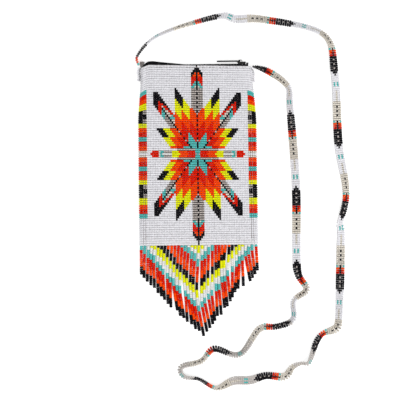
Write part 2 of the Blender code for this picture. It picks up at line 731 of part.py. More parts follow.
def make_strap_tab(name, side, drop):
    """The sewn end of the strap, flat against the side of the pouch, with a ridge for each row of beads."""
    rows = round(STRAP_TAB_LENGTH / ROW_PITCH)
    pitch = STRAP_TAB_LENGTH / rows
    top = MOUTH_Y - STRAP_TAB_TOP - drop
    lines = []
    for row in range(rows):
        lines += [(top - row * pitch, BAND_RIDGE_DEPTH), (top - (row + 0.5) * pitch, 0.0)]
    lines.append((top - STRAP_TAB_LENGTH, BAND_RIDGE_DEPTH))
    form = bmesh.new()

    def add_line(y, out):
        x = side * (pouch_half_width(y) + GAP + out)
        return [form.verts.new((x, y, GAP)), form.verts.new((x, y, GAP + STRAP_WIDTH))]

    outer = [add_line(y, STRAP_THICKNESS - inset) for y, inset in lines]
    inner = [add_line(y, 0.0) for y, _ in (lines[0], lines[-1])]
    for upper, lower in zip(outer, outer[1:]):
        form.faces.new([upper[0], upper[1], lower[1], lower[0]])
    form.faces.new([inner[0][0], inner[1][0], inner[1][1], inner[0][1]])
    for edge in (0, 1):
        form.faces.new([line[edge] for line in outer] + [line[edge] for line in reversed(inner)])
    for outside, inside in ((outer[0], inner[0]), (outer[-1], inner[-1])):
        form.faces.new([outside[0], outside[1], inside[1], inside[0]])
    add_object(name, form, ["white"])
    return Vector((side * (pouch_half_width(top) + GAP + STRAP_THICKNESS / 2), top + GAP, 0))


def curve_point(points, place):
    """A point of the smooth curve through all the points, where place counts them."""
    index = min(int(place), len(points) - 2)
    share = place - index
    before = points[max(index - 1, 0)]
    start, end = points[index], points[index + 1]
    after = points[min(index + 2, len(points) - 1)]
    return (start * 2 + (end - before) * share
            + (before * 2 - start * 5 + end * 4 - after) * share ** 2
            + (start * 3 - before - end * 3 + after) * share ** 3) / 2


def even_points(points, count):
    """Points at equal steps along the smooth curve."""
    spans = len(points) - 1
    fine = [curve_point(points, spans * step / STRAP_CURVE_SAMPLES) for step in range(STRAP_CURVE_SAMPLES + 1)]
    reach = [0.0]
    for first, second in zip(fine, fine[1:]):
        reach.append(reach[-1] + (second.xy - first.xy).length)
    picked, index = [], 0
    for step in range(count):
        goal = reach[-1] * step / (count - 1)
        while index < len(fine) - 2 and reach[index + 1] < goal:
            index += 1
        share = (goal - reach[index]) / max(reach[index + 1] - reach[index], 1e-9)
        picked.append(fine[index].lerp(fine[index + 1], min(share, 1.0)))
    return picked


def make_strap(start, end):
    """The free strap: a flat strip that lies on the floor, or stands on its edge where it is turned."""
    rise = Vector((0, STRAP_THICKNESS, 0))
    ends = [(point.x, point.y, 90) for point in (start, start + rise)]
    finishing = [(point.x, point.y, 90) for point in (end + rise, end)]
    route = [Vector(point) for point in ends + STRAP_ROUTE + finishing]
    form = bmesh.new()
    loops = []
    picked = even_points(route, STRAP_POINTS)
    for index, point in enumerate(picked):
        before, after = picked[max(index - 1, 0)], picked[min(index + 1, len(picked) - 1)]
        along = Vector((after.x - before.x, after.y - before.y, 0)).normalized()
        if index in (0, len(picked) - 1):
            along = Vector((0, 1 if index == 0 else -1, 0))
        turn = math.radians(point.z)
        across = Vector((along.y, -along.x, 0)) * math.cos(turn) + Vector((0, 0, math.sin(turn)))
        thick = along.cross(across)
        height = (STRAP_WIDTH * abs(math.sin(turn)) + STRAP_THICKNESS * abs(math.cos(turn))) / 2
        centre = Vector((point.x, point.y, GAP + height))
        corners = [(-1, -1), (1, -1), (1, 1), (-1, 1)]
        loops.append([form.verts.new(centre + across * u * STRAP_WIDTH / 2 + thick * v * STRAP_THICKNESS / 2)
                      for u, v in corners])
    for first, second in zip(loops, loops[1:]):
        for index in range(4):
            after = (index + 1) % 4
            form.faces.new([first[index], first[after], second[after], second[index]])
    form.faces.new(loops[0])
    form.faces.new(loops[-1])
    add_object("strap", form, ["white"])


def main():
    for thing in list(bpy.data.objects):
        bpy.data.objects.remove(thing)
    make_front_panel()
    make_back_panel()
    make_side_band("side_band_left", -1)
    make_side_band("side_band_right", 1)
    make_lining()
    make_zip()
    for place in range(-STRANDS_EACH_SIDE, STRANDS_EACH_SIDE + 1):
        make_strand(place)
    start = make_strap_tab("strap_end_left", -1, 0.0)
    end = make_strap_tab("strap_end_right", 1, STRAP_RIGHT_TAB_DROP)
    make_strap(start, end)


main()
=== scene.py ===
# Beaded cell phone bag: its beads, threads and cloth, made round the solids of the frame.
# Metres, +Y towards the mouth, +Z out of the front, floor at Z = 0.
import math

import bmesh
import bpy
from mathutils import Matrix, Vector, noise


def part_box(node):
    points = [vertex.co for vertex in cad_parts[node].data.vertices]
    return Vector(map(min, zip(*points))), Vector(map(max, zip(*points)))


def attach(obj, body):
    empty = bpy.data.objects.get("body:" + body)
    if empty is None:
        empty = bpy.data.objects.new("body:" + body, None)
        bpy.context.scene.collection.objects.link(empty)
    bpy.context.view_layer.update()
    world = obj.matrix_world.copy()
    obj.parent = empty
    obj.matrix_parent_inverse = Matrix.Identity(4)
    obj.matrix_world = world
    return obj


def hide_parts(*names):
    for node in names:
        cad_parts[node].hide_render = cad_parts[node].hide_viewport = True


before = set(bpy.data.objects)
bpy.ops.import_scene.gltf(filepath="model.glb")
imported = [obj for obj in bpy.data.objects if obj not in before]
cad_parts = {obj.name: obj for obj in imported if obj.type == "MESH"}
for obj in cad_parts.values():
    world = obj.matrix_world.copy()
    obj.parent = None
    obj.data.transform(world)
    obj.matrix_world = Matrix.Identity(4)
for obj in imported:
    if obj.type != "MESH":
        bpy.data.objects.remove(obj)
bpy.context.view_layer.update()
print("frame loaded:", len(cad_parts), "solids")


def addObject(name, data):
    thing = bpy.data.objects.new(name, data)
    bpy.context.collection.objects.link(thing)
    return thing


# Camera straight over the bag, turned a little as the bag lies in the picture
camera = {
    "place": (0.00222, -0.00218, 2.0),
    "turn": -0.7,  # degrees
    "sensor": 36.0,
    "pictureWidth": 0.401,  # width of what the picture shows
    "bagHeight": 0.008,  # height at which that width is measured
    "farthest": 20,  # that the camera sees
}


def makeCamera():
    lens = bpy.data.cameras.new("bag camera")
    away = camera["place"][2] - camera["bagHeight"]
    lens.sensor_width = camera["sensor"]
    lens.lens = camera["sensor"] * away / camera["pictureWidth"]
    lens.clip_end = camera["farthest"]
    thing = addObject("bag camera", lens)
    thing.location = camera["place"]
    thing.rotation_euler = (0, 0, math.radians(camera["turn"]))
    bpy.context.scene.camera = thing


makeCamera()


# The glass of the beads: its colour and how metallic it looks
glass = {
    "white": ((0.83, 0.825, 0.857), 0.0),
    # painted shade: a darker white for the beads low on the strap
    "dull": ((0.55, 0.515, 0.49), 0.0),
    "black": ((0.006, 0.0055, 0.008), 0.0),
    "red": ((0.78, 0.014, 0.0008), 0.2),
    "orange": ((0.98, 0.072, 0.001), 0.2),
    "brick": ((0.56, 0.010, 0.001), 0.2),
    "rust": ((0.90, 0.085, 0.004), 0.2),
    "yellow": ((0.84, 0.86, 0.005), 0.2),
    "turquoise": ((0.105, 0.53, 0.505), 0.2),
    "silver": ((0.46, 0.415, 0.39), 0.9),
    "clear": ((0.72, 0.67, 0.59), 0.4),
    "pearl": ((0.82, 0.82, 0.81), 0.1),
}

# The pouch, in rows and columns of beads counted from the middle of the star
frontLow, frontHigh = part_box("front_panel")
pouch = {
    "rowsAbove": 39,
    "rowsBelow": 40,
    "columns": 63,
    "borderColumns": 1,  # of the panel, in the colours of the side bands
    "topHalfWidth": 0.0520,
    "bottomHalfWidth": 0.0526,
    "bandTopReach": 0.0042,
    "bandBottomReach": 0.0072,
    "bulgeLength": 0.060,
    "bandColumns": 10,
    "bandGap": 0.0001,
    "hemDepth": 0.0052,
    "hemLength": 0.030,
    "beadRadius": 0.001112,
    "beadLength": 0.00163,
}
mouthY, bottomY, mouthDepth = frontHigh.y, frontLow.y, frontHigh.z
pouchRows = range(-pouch["rowsAbove"], pouch["rowsBelow"] + 1)
rowPitch = (mouthY - bottomY) / len(pouchRows)

# How the beadwork gives as it lies
slack = {
    "ripple": 0.00035,  # how much the front and back rise and fall
    "waves": (22, 17, 40),  # how close the ripples lie in X, Y and Z
    "drift": 0.00022,  # how much the rows wander along
    "driftAcross": 0.6,  # of that, across
    "driftScale": 1.7,  # of the ripples' closeness
    "driftOffset": (5, 9, 2),
    "lean": 0.024,  # slope of the rows at the mouth, none at the bottom edge
    "cornerDrop": 0.0030,  # the top left corner hangs lower
    "cornerStart": 0.0465,
    "cornerWidth": 0.010,
    "cornerReach": 0.040,
    "pinch": 0.0016,  # the top right corner is drawn inwards
    "pinchStart": 0.040,
    "pinchWidth": 0.014,
    "pinchReach": 0.024,
    "sag": {-1: 0.0034, 1: 0.0022},  # how far the stripes of the left and right band sag
    "sagRow": -26,  # where they sag most
    "sagReach": 0.030,
}


def mix(start, end, share):
    return start + (end - start) * share


def shares(count):
    # even steps from 0 to 1
    return [step / count for step in range(count + 1)]


def smooth(value):
    value = min(max(value, 0.0), 1.0)
    return value * value * (3 - 2 * value)


def rowY(row):
    return mouthY - (row + pouch["rowsAbove"] + 0.5) * rowPitch


def panelHalf(y):
    return mix(pouch["topHalfWidth"], pouch["bottomHalfWidth"], (mouthY - y) / (mouthY - bottomY))


def pouchHalf(y):
    bulge = smooth((mouthY - y) / pouch["bulgeLength"])
    return panelHalf(y) + mix(pouch["bandTopReach"], pouch["bandBottomReach"], bulge)


def pouchDepth(y):
    share = min(1.0, max(0.0, (y - bottomY) / pouch["hemLength"]))
    return mix(pouch["hemDepth"], mouthDepth, math.sin(share * math.pi / 2))


def clothPoint(x, y, z):
    # a point of the pouch moved by the slack of its beadwork
    wavesX, wavesY, wavesZ = slack["waves"]
    along = Vector((x * wavesX, y * wavesY, z * wavesZ))
    rise = noise.noise(along) * slack["ripple"] * (z / mouthDepth)
    drifting = along * slack["driftScale"] + Vector(slack["driftOffset"])
    shift = noise.noise(drifting) * slack["drift"]
    lean = x * slack["lean"] * max(0.0, (y - bottomY) / (mouthY - bottomY))
    drop = smooth((-x - slack["cornerStart"]) / slack["cornerWidth"])
    drop *= smooth(1 - (mouthY - y) / slack["cornerReach"])
    pinch = smooth((x - slack["pinchStart"]) / slack["pinchWidth"])
    pinch *= smooth(1 - (mouthY - y) / slack["pinchReach"])
    return Vector((x + shift * slack["driftAcross"] - slack["pinch"] * pinch,
                   y + shift - lean - slack["cornerDrop"] * drop, z + rise))


# Lines of points, used for the strap and the strands of the fringe
def curvePoint(points, place):
    # on the smooth curve through the points, place counted in points from the first
    index = min(int(place), len(points) - 2)
    share = place - index
    before, start, end = points[max(index - 1, 0)], points[index], points[index + 1]
    after = points[min(index + 2, len(points) - 1)]
    return (start * 2 + (end - before) * share
            + (before * 2 - start * 5 + end * 4 - after) * share ** 2
            + (start * 3 - before - end * 3 + after) * share ** 3) / 2


def lineReach(points):
    reach = [0.0]
    for first, second in zip(points, points[1:]):
        reach.append(reach[-1] + (second.xy - first.xy).length)
    return reach


def pointsAt(points, goals):
    # points at these distances along the line
    reach, index, picked = lineReach(points), 0, []
    for goal in goals:
        while index < len(points) - 2 and reach[index + 1] < goal:
            index += 1
        share = (goal - reach[index]) / max(reach[index + 1] - reach[index], 1e-9)
        picked.append(points[index].lerp(points[index + 1], share))
    return picked


def relaxed(points, reach):
    # each point moved to the middle of its neighbours, which rounds the folds
    last = len(points) - 1
    eased = []
    for index in range(len(points)):
        near = min(reach, index, last - index)
        window = points[index - near:index + near + 1]
        eased.append(sum(window, Vector((0, 0, 0))) / len(window))
    return eased


# Colours of the star, by how far a bead is across and along from its centre
def compassFeather(across, along):
    if across == 0:
        return "black" if along >= 30 or along % 2 else "silver"
    if along >= 37:
        return "black" if across <= 39 - along else None
    if across > min(3, along - 18):
        return None
    if along >= 35:
        return "black" if across >= 38 - along else "orange"
    if along >= 31:
        return "turquoise" if across <= 33 - along else "red"
    if along == 30:
        return "turquoise" if across > 1 else "clear"
    return "silver"


def sideFeather(across, along):
    steps = [(along, "turquoise"), (1, "silver"), (5 + along, "red"), (10 + along, "orange"),
             (15, "yellow"), (21 - along, "silver" if along else "pearl"), (22, "turquoise"),
             (23, "clear"), (28 - along, "red")]
    return next((colour for last, colour in steps if across <= last), None)


def starBody(across, along):
    if along <= 9 and max(1, along - 4) <= across <= min(5, along):
        return "turquoise"
    if across > min(13, along) or along > 29:
        return None
    if along >= 25:
        return "black" if across >= along - 16 else None
    if along >= 20:
        if along > 20 and 9 <= across <= along - 12:
            return "black"
        if across >= max(5, along - 16):
            return "yellow"
        return "orange" if along == 20 else None
    if along >= 16:
        return "yellow" if 5 <= across <= along - 11 or 10 <= across <= along - 6 else "orange"
    if along >= 11:
        return "red" if along - 10 <= across <= 4 or along - 5 <= across <= 9 else "orange"
    return "red"


def sideTier(across, along):
    tiers = ["turquoise", "red", "orange", "yellow", "black"]
    block = (across - along - 2) // 4
    return tiers[along // 4 + block] if 0 <= block <= 2 else None


def cornerFeather(across, along):
    offset = across - along
    if not (-3 <= offset <= 4 and across <= 26 and 12 <= along <= 27):
        return None
    if along >= 24:
        return "black"
    if offset >= 2:
        steps = [(24, "black"), (22, "red"), (20, "turquoise"), (0, "silver")]
        return next(colour for least, colour in steps if across >= least)
    bounds = {-3: (20, 17), -2: (22, 18), -1: (23, 20), 0: (24, 22), 1: (23, 21)}
    blackFrom, redFrom = bounds[offset]
    if along >= redFrom:
        return "black" if along >= blackFrom else "red"
    return "turquoise" if along in (16, 20) or offset == -2 else "clear"


# Stripes of the side bands: last row of each colour, counted from the middle row
bandStripes = [(0, "white"), (1, "clear"), (3, "orange"), (5, "red"), (7, "turquoise"),
               (9, "red"), (11, "orange"), (13, "yellow"), (19, "black"), (22, "yellow"),
               (24, "orange"), (26, "red"), (28, "turquoise")]


def bandColour(column, row):
    along = abs(row)
    colour = next((name for last, name in bandStripes if along <= last), "white")
    inner = column in (0, pouch["bandColumns"] - 1)
    return "silver" if colour == "black" and inner and along not in (16, 17) else colour


def starColour(column, row):
    across, along = abs(column), abs(row)
    if across > pouch["columns"] // 2 - pouch["borderColumns"]:
        return bandColour(0, row)
    if along <= 1:
        return sideFeather(across, along) or "white"
    if along == 2:
        return "turquoise" if across <= 1 else ("silver" if across <= 12 else "white")
    if across == along + 1 and along <= 20:
        return {6: "silver", 8: "red", 10: "silver"}.get(along, "black")
    if along >= 19 and compassFeather(across, along):
        return compassFeather(across, along)
    if across == 0 and along <= 18:
        if along in (6, 18):
            return "silver"
        return "black" if along <= 5 or along % 2 else "red"
    if across > along + 1 and along <= 11:
        return sideTier(across, along) or "white"
    return starBody(across, along) or cornerFeather(across, along) or "white"


# Node trees
def wire(tree, made, wires):
    # gives each input a socket, a node's first output or a plain value
    for key, value in wires.items():
        if isinstance(value, bpy.types.Node):
            value = value.outputs[0]
        if isinstance(value, bpy.types.NodeSocket):
            tree.links.new(value, made.inputs[key])
        else:
            made.inputs[key].default_value = value


def addNode(tree, kind, wires=None, **settings):
    made = tree.nodes.new(kind)
    for key, value in settings.items():
        setattr(made, key, value)
    wire(tree, made, wires or {})
    return made


def maths(tree, operation, first, second=0.0):
    return addNode(tree, "ShaderNodeMath", {0: first, 1: second}, operation=operation)


def storeValue(tree, geometry, name, value):
    return addNode(tree, "GeometryNodeStoreNamedAttribute", {
        "Geometry": geometry, "Name": name, "Value": value}, data_type="FLOAT", domain="POINT")


def smoothShaded(tree, geometry, where=True):
    return addNode(tree, "GeometryNodeSetShadeSmooth", {
        "Geometry": geometry, "Selection": where, "Shade Smooth": True})


def newTree(name, sockets):
    # a geometry tree and the sockets of its inputs
    tree = bpy.data.node_groups.new(name, "GeometryNodeTree")
    for end in ("OUTPUT", "INPUT"):
        tree.interface.new_socket("Geometry", in_out=end, socket_type="NodeSocketGeometry")
    for label, kind in sockets.items():
        tree.interface.new_socket(label, in_out="INPUT", socket_type="NodeSocket" + kind)
    return tree, tree.nodes.new("NodeGroupInput").outputs


def endTree(tree, given, copies):
    # makes the copies real and gives them the piece's material
    real = addNode(tree, "GeometryNodeRealizeInstances", {0: copies})
    done = addNode(tree, "GeometryNodeSetMaterial", {
        "Geometry": real, "Material": given["Material"]})
    addNode(tree, "NodeGroupOutput", {0: done})
    return tree


# The shape that all beads share
barrel = {
    "rings": 3,
    "crowding": 0.55,  # under 1, the rings gather towards the ends
    "shoulder": 4.0,  # how late the bead begins to taper
}


def beadForm(tree, given):
    # a barrel with flat ends, its hole along X
    radius, length = given["Radius"], given["Length"]
    tube = addNode(tree, "GeometryNodeMeshCylinder", {
        "Vertices": given["Sides"], "Side Segments": barrel["rings"], "Radius": radius,
        "Depth": length}, fill_type="NGON")
    place = addNode(tree, "GeometryNodeInputPosition")
    x, y, z = addNode(tree, "ShaderNodeSeparateXYZ", {0: place}).outputs
    half = maths(tree, "MULTIPLY", length, 0.5)
    reach = maths(tree, "DIVIDE", maths(tree, "ABSOLUTE", z), half)
    outward = maths(tree, "MULTIPLY", maths(tree, "POWER", reach, barrel["crowding"]), half)
    shoulder = maths(tree, "POWER", reach, barrel["shoulder"])
    narrow = maths(tree, "SUBTRACT", 1.0, maths(tree, "MULTIPLY", given["Taper"], shoulder))
    point = addNode(tree, "ShaderNodeCombineXYZ", {
        0: maths(tree, "MULTIPLY", x, narrow), 1: maths(tree, "MULTIPLY", y, narrow),
        2: maths(tree, "MULTIPLY", outward, maths(tree, "SIGN", z))})
    shaped = addNode(tree, "GeometryNodeSetPosition", {"Geometry": tube, "Position": point})
    turned = addNode(tree, "GeometryNodeTransform", {
        "Geometry": smoothShaded(tree, shaped, tube.outputs["Side"]),
        "Rotation": (0, math.pi / 2, 0)})
    # how far across the bead a point lies, which the glass uses for painted shade on the flanks
    flank = maths(tree, "DIVIDE", maths(tree, "ABSOLUTE", y), radius)
    return storeValue(tree, turned, "flank", flank)


def beadTree():
    # a bead on every point, along the point's axis, a little off in place, tilt, size and shade
    tree, given = newTree("string beads", {
        "Sides": "Int", "Radius": "Float", "Length": "Float", "Taper": "Float",
        "Looseness": "Float", "Tilt": "Float", "Size Spread": "Float", "Seed": "Int",
        "Material": "Material"})

    def chance(amount, offset, kind="FLOAT_VECTOR"):
        low, high, result = (0, 1, 0) if kind == "FLOAT_VECTOR" else (2, 3, 1)
        seed = addNode(tree, "FunctionNodeIntegerMath", {0: given["Seed"], 1: offset},
                       operation="ADD")
        return addNode(tree, "FunctionNodeRandomValue", {
            low: maths(tree, "MULTIPLY", amount, -1.0), high: amount, "Seed": seed},
            data_type=kind).outputs[result]

    def varied(start, amount, offset):
        return addNode(tree, "ShaderNodeVectorMath", {0: start, 1: chance(amount, offset)},
                       operation="ADD")

    loose = addNode(tree, "GeometryNodeSetPosition", {
        "Geometry": given["Geometry"], "Offset": chance(given["Looseness"], 1)})
    axis = addNode(tree, "GeometryNodeInputNamedAttribute", {"Name": "axis"},
                   data_type="FLOAT_VECTOR")
    turn = addNode(tree, "FunctionNodeAlignRotationToVector", {
        "Vector": varied(axis, given["Tilt"], 3)}, axis="X")
    return endTree(tree, given, addNode(tree, "GeometryNodeInstanceOnPoints", {
        "Points": storeValue(tree, loose, "shade", chance(1.0, 2, "FLOAT")),
        "Rotation": turn, "Scale": varied((1, 1, 1), given["Size Spread"], 4),
        "Instance": beadForm(tree, given)}))


def threadTree():
    # a round thread along every line of edges
    tree, given = newTree("spin threads", {
        "Radius": "Float", "Sides": "Int", "Material": "Material"})
    lines = addNode(tree, "GeometryNodeMeshToCurve", {0: given["Geometry"]})
    ring = addNode(tree, "GeometryNodeCurvePrimitiveCircle", {
        "Resolution": given["Sides"], "Radius": given["Radius"]})
    tubes = addNode(tree, "GeometryNodeCurveToMesh", {
        "Curve": lines, "Profile Curve": ring, "Fill Caps": True})
    return endTree(tree, given, smoothShaded(tree, tubes))


stringBeads, spinThreads = beadTree(), threadTree()


def grow(name, mesh, tree, values):
    # runs a tree on a mesh of points or lines and keeps what it makes as a plain mesh
    thing = addObject(name, mesh)
    modifier = thing.modifiers.new(tree.name, "NODES")
    modifier.node_group = tree
    for item in tree.interface.items_tree:
        if item.in_out == "INPUT" and item.name in values:
            modifier[item.identifier] = values[item.name]
    view = bpy.context.evaluated_depsgraph_get()
    result = bpy.data.meshes.new_from_object(thing.evaluated_get(view), depsgraph=view)
    thing.modifiers.clear()
    thing.data = result
    bpy.data.meshes.remove(mesh)
    result.name = name
    return thing


def beadsOn(name, spots, values):
    # each spot is a place, the direction of the bead's hole and a glass colour
    places, axes, colours = zip(*spots)
    mesh = bpy.data.meshes.new(name + " spots")
    mesh.from_pydata(places, [], [])
    axis = mesh.attributes.new("axis", "FLOAT_VECTOR", "POINT")
    axis.data.foreach_set("vector", [part for along in axes for part in along])
    looks = [glass[colour] for colour in colours]
    tint = mesh.attributes.new("tint", "FLOAT_COLOR", "POINT")
    tint.data.foreach_set("color", [part for shade, _ in looks for part in (*shade, 1.0)])
    metal = mesh.attributes.new("metal", "FLOAT", "POINT")
    metal.data.foreach_set("value", [share for _, share in looks])
    return grow(name, mesh, stringBeads, seedBead | values)


def threadsOn(name, lines, radius, sides, finish):
    mesh = bpy.data.meshes.new(name + " lines")
    points, edges = [], []
    for line in lines:
        edges += [(len(points) + step, len(points) + step + 1) for step in range(len(line) - 1)]
        points += line
    mesh.from_pydata(points, edges, [])
    return grow(name, mesh, spinThreads, {
        "Radius": radius, "Sides": sides, "Material": finishes[finish]})


# Materials
def newMaterial(name, finish):
    material = bpy.data.materials.new(name)
    material.use_nodes = True
    colour = (*finish["colour"], 1.0)
    material.diffuse_color = colour
    tree = material.node_tree
    shader = tree.nodes["Principled BSDF"]
    wire(tree, shader, {"Base Color": colour, "Roughness": finish["roughness"],
                        "Specular IOR Level": finish["shine"]})
    return material, tree, shader


def objectPlace(tree):
    return addNode(tree, "ShaderNodeTexCoord").outputs["Object"]


def grain(tree, place, scale, detail=2.0):
    return addNode(tree, "ShaderNodeTexNoise", {
        "Vector": place, "Scale": scale, "Detail": detail}).outputs["Fac"]


def stripes(tree, place, scale, wobble, direction):
    return addNode(tree, "ShaderNodeTexWave", {
        "Vector": place, "Scale": scale, "Distortion": wobble},
        bands_direction=direction).outputs["Fac"]


def spread(tree, value, low, high):
    return addNode(tree, "ShaderNodeMapRange", {"Value": value, "To Min": low, "To Max": high})


def blended(tree, share, low, high):
    return addNode(tree, "ShaderNodeMix", {0: share, 6: (*low, 1.0), 7: (*high, 1.0)},
                   data_type="RGBA").outputs[2]


def bumped(tree, height, strength, distance):
    return addNode(tree, "ShaderNodeBump", {
        "Strength": strength, "Distance": distance, "Height": height})


# Pressed glass: the bead's own colour, a shade lighter or darker, with a slightly uneven shine, and
# painted shade on the flanks of metallic beads
beadFinish = {
    "colour": (0.8, 0.8, 0.85),
    "roughness": 0.3,
    "shine": 0.04,
    "shadeSpread": 0.05,
    "cloudScale": 300.0,
    "cloudSpread": (1 - 0.06, 1 + 0.06),
    "pitScale": 1500.0,
    "pitDepth": (0.10, 0.0001),  # strength, metres
    "pitRoughness": (0.2, 0.4),
    "flankShadePower": 2.0,  # how quickly painted shade darkens metallic beads towards their flanks
}


def beadGlass():
    material, tree, shader = newMaterial("bead glass", beadFinish)
    tint, shade, metal, flank = (
        addNode(tree, "ShaderNodeAttribute", attribute_name=name).outputs
        for name in ("tint", "shade", "metal", "flank"))
    place = objectPlace(tree)
    cloud = spread(tree, grain(tree, place, beadFinish["cloudScale"]), *beadFinish["cloudSpread"])
    value = addNode(tree, "ShaderNodeMath", {
        0: shade["Fac"], 1: beadFinish["shadeSpread"], 2: cloud}, operation="MULTIPLY_ADD")
    # painted shade on the flanks of metallic beads, darker the more metallic they are
    paintedFlankShade = maths(tree, "MULTIPLY", maths(tree, "POWER", flank["Fac"], beadFinish["flankShadePower"]),
                   metal["Fac"])
    value = maths(tree, "MULTIPLY", value, maths(tree, "SUBTRACT", 1.0, paintedFlankShade))
    colour = addNode(tree, "ShaderNodeHueSaturation", {"Value": value, "Color": tint["Color"]})
    pits = grain(tree, place, beadFinish["pitScale"])
    wire(tree, shader, {
        "Base Color": colour, "Metallic": metal["Fac"],
        "Roughness": spread(tree, pits, *beadFinish["pitRoughness"]),
        "Normal": bumped(tree, pits, *beadFinish["pitDepth"])})
    return material


# Waxed beading thread with its twist
threadFinish = {
    "roughness": 0.75,
    "shine": 0.3,
    "sheen": 0.2,
    "twistScale": 1800.0,
    "twistWobble": 2.0,
    "twistDepth": (0.4, 0.00005),  # strength, metres
}


def threadCotton(name, colour):
    material, tree, shader = newMaterial(name, threadFinish | {"colour": colour})
    twist = stripes(tree, objectPlace(tree), threadFinish["twistScale"],
                    threadFinish["twistWobble"], "DIAGONAL")
    wire(tree, shader, {"Normal": bumped(tree, twist, *threadFinish["twistDepth"]),
                        "Sheen Weight": threadFinish["sheen"]})
    return material


# Plain weave: two sets of threads across each other, with painted shade where they dip
clothFinish = {
    "roughness": 0.9,
    "shine": 0.2,
    "threadWobble": 0.6,
    "weaveDepth": (0.6, 0.0001),  # strength, metres
    "patchScale": 120.0,
    "patchDetail": 4.0,
    "patchSpread": (0.75, 1.0),
}


def wovenCloth(name, colour, dipShade, threads, sheen):
    material, tree, shader = newMaterial(name, clothFinish | {"colour": colour})
    place = objectPlace(tree)
    warp, weft = (stripes(tree, place, threads, clothFinish["threadWobble"], way) for way in "XY")
    weave = maths(tree, "MAXIMUM", warp, weft)
    patches = grain(tree, place, clothFinish["patchScale"], clothFinish["patchDetail"])
    # painted shade where the threads dip, with patches of tone that vary at random
    share = maths(tree, "MULTIPLY", weave, spread(tree, patches, *clothFinish["patchSpread"]))
    wire(tree, shader, {"Base Color": blended(tree, share, dipShade, colour),
                        "Normal": bumped(tree, weave, *clothFinish["weaveDepth"]),
                        "Sheen Weight": sheen})
    return material


# Painted metal of the slider and its pull, worn a little at the edges
enamelFinish = {
    "colour": (0.004, 0.004, 0.006),
    "roughness": 0.4,
    "shine": 0.1,
    "paint": (0.002, 0.002, 0.004),
    "worn": (0.03, 0.029, 0.028),
    "wearContrast": (-5.0, 6.0),  # what a sharpness of 0 and of 1 becomes
    "wearScale": 700.0,
    "wearDetail": 4.0,
    "wornRoughness": (0.30, 0.5),
}


def blackEnamel():
    material, tree, shader = newMaterial("black enamel", enamelFinish)
    edge = addNode(tree, "ShaderNodeNewGeometry").outputs["Pointiness"]
    patches = grain(tree, objectPlace(tree), enamelFinish["wearScale"], enamelFinish["wearDetail"])
    wear = maths(tree, "MULTIPLY", spread(tree, edge, *enamelFinish["wearContrast"]), patches)
    share = addNode(tree, "ShaderNodeClamp", {0: wear})
    wire(tree, shader, {
        "Base Color": blended(tree, share, enamelFinish["paint"], enamelFinish["worn"]),
        "Roughness": spread(tree, share, *enamelFinish["wornRoughness"])})
    return material


# Nylon of the zip's teeth and stops
nylonFinish = {
    "colour": (0.014, 0.014, 0.016),
    "roughness": 0.42,
    "shine": 0.3,
    "tones": ((0.006, 0.006, 0.008), (0.020, 0.019, 0.020)),
    "toneScale": 260.0,
    "toneDetail": 3.0,
    "matScale": 900.0,
    "matSpread": (0.34, 0.5),
}


def mouldedNylon():
    material, tree, shader = newMaterial("moulded nylon", nylonFinish)
    place = objectPlace(tree)
    tone = grain(tree, place, nylonFinish["toneScale"], nylonFinish["toneDetail"])
    mat = grain(tree, place, nylonFinish["matScale"])
    wire(tree, shader, {"Base Color": blended(tree, tone, *nylonFinish["tones"]),
                        "Roughness": spread(tree, mat, *nylonFinish["matSpread"])})
    return material


finishes = {
    "beads": beadGlass(),
    "thread": threadCotton("white thread", (0.82, 0.78, 0.78)),
    "zipThread": threadCotton("black thread", (0.012, 0.011, 0.013)),
    "lining": wovenCloth("lining cloth", (0.74, 0.61, 0.57), (0.48, 0.38, 0.36), 700.0, 0.3),
    # painted shade: a darker, greyer copy of the lining cloth for the lining's corner
    "corner": wovenCloth("shaded lining corner cloth", (0.42, 0.39, 0.38), (0.26, 0.24, 0.23), 700.0, 0.2),
    "tape": wovenCloth("zip tape", (0.010, 0.010, 0.013), (0.003, 0.003, 0.004), 900.0, 0.05),
    "enamel": blackEnamel(),
    "nylon": mouldedNylon(),
}
print("materials made:", len(finishes))

# What every bead starts from; each piece adds its size, how loosely it is strung and its seed
seedBead = {"Sides": 8, "Taper": 0.13, "Material": finishes["beads"]}


def settle(thing, slot, *nodes):
    # the piece rides on the pouch and stands for these solids
    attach(thing, "pouch")
    if nodes:
        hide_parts(*nodes)
    triangles = sum(len(face.vertices) - 2 for face in thing.data.polygons)
    print("  ", thing.name, triangles, "triangles")


def joinLines(form, first, second, closed=True):
    # faces between two lines of corners
    for index in range(len(first) if closed else len(first) - 1):
        after = (index + 1) % len(first)
        form.faces.new([first[index], first[after], second[after], second[index]])


def finishMesh(name, form, material):
    # a bmesh made into a smooth piece at the origin
    bmesh.ops.recalc_face_normals(form, faces=form.faces)
    mesh = bpy.data.meshes.new(name)
    form.to_mesh(mesh)
    form.free()
    mesh.shade_smooth()
    mesh.materials.append(material)
    return addObject(name, mesh)


# Strap, from its left end to its right one
strap = {
    "width": 0.0086,
    "thickness": 0.0020,
    "columns": 5,
    "motifRows": 34,
    "floorGap": 0.0003,
    "samples": 6000,
    "step": 0.001,  # of the line that the folds are rounded on
    "foldReach": 2,
    "threadRadius": 0.00006,
    "shadeBelow": -0.125,  # Y under which its white beads take painted shade, darker towards the bottom
    "endWaves": 9,  # how closely the sewn ends wave
    "beads": {"Radius": 0.00110, "Length": 0.00170, "Looseness": 0.00005, "Tilt": 0.05,
              "Size Spread": 0.03, "Seed": 31},
    "endBeads": {"Looseness": 0.0001, "Tilt": 0.1, "Size Spread": 0.04, "Seed": 36},
}
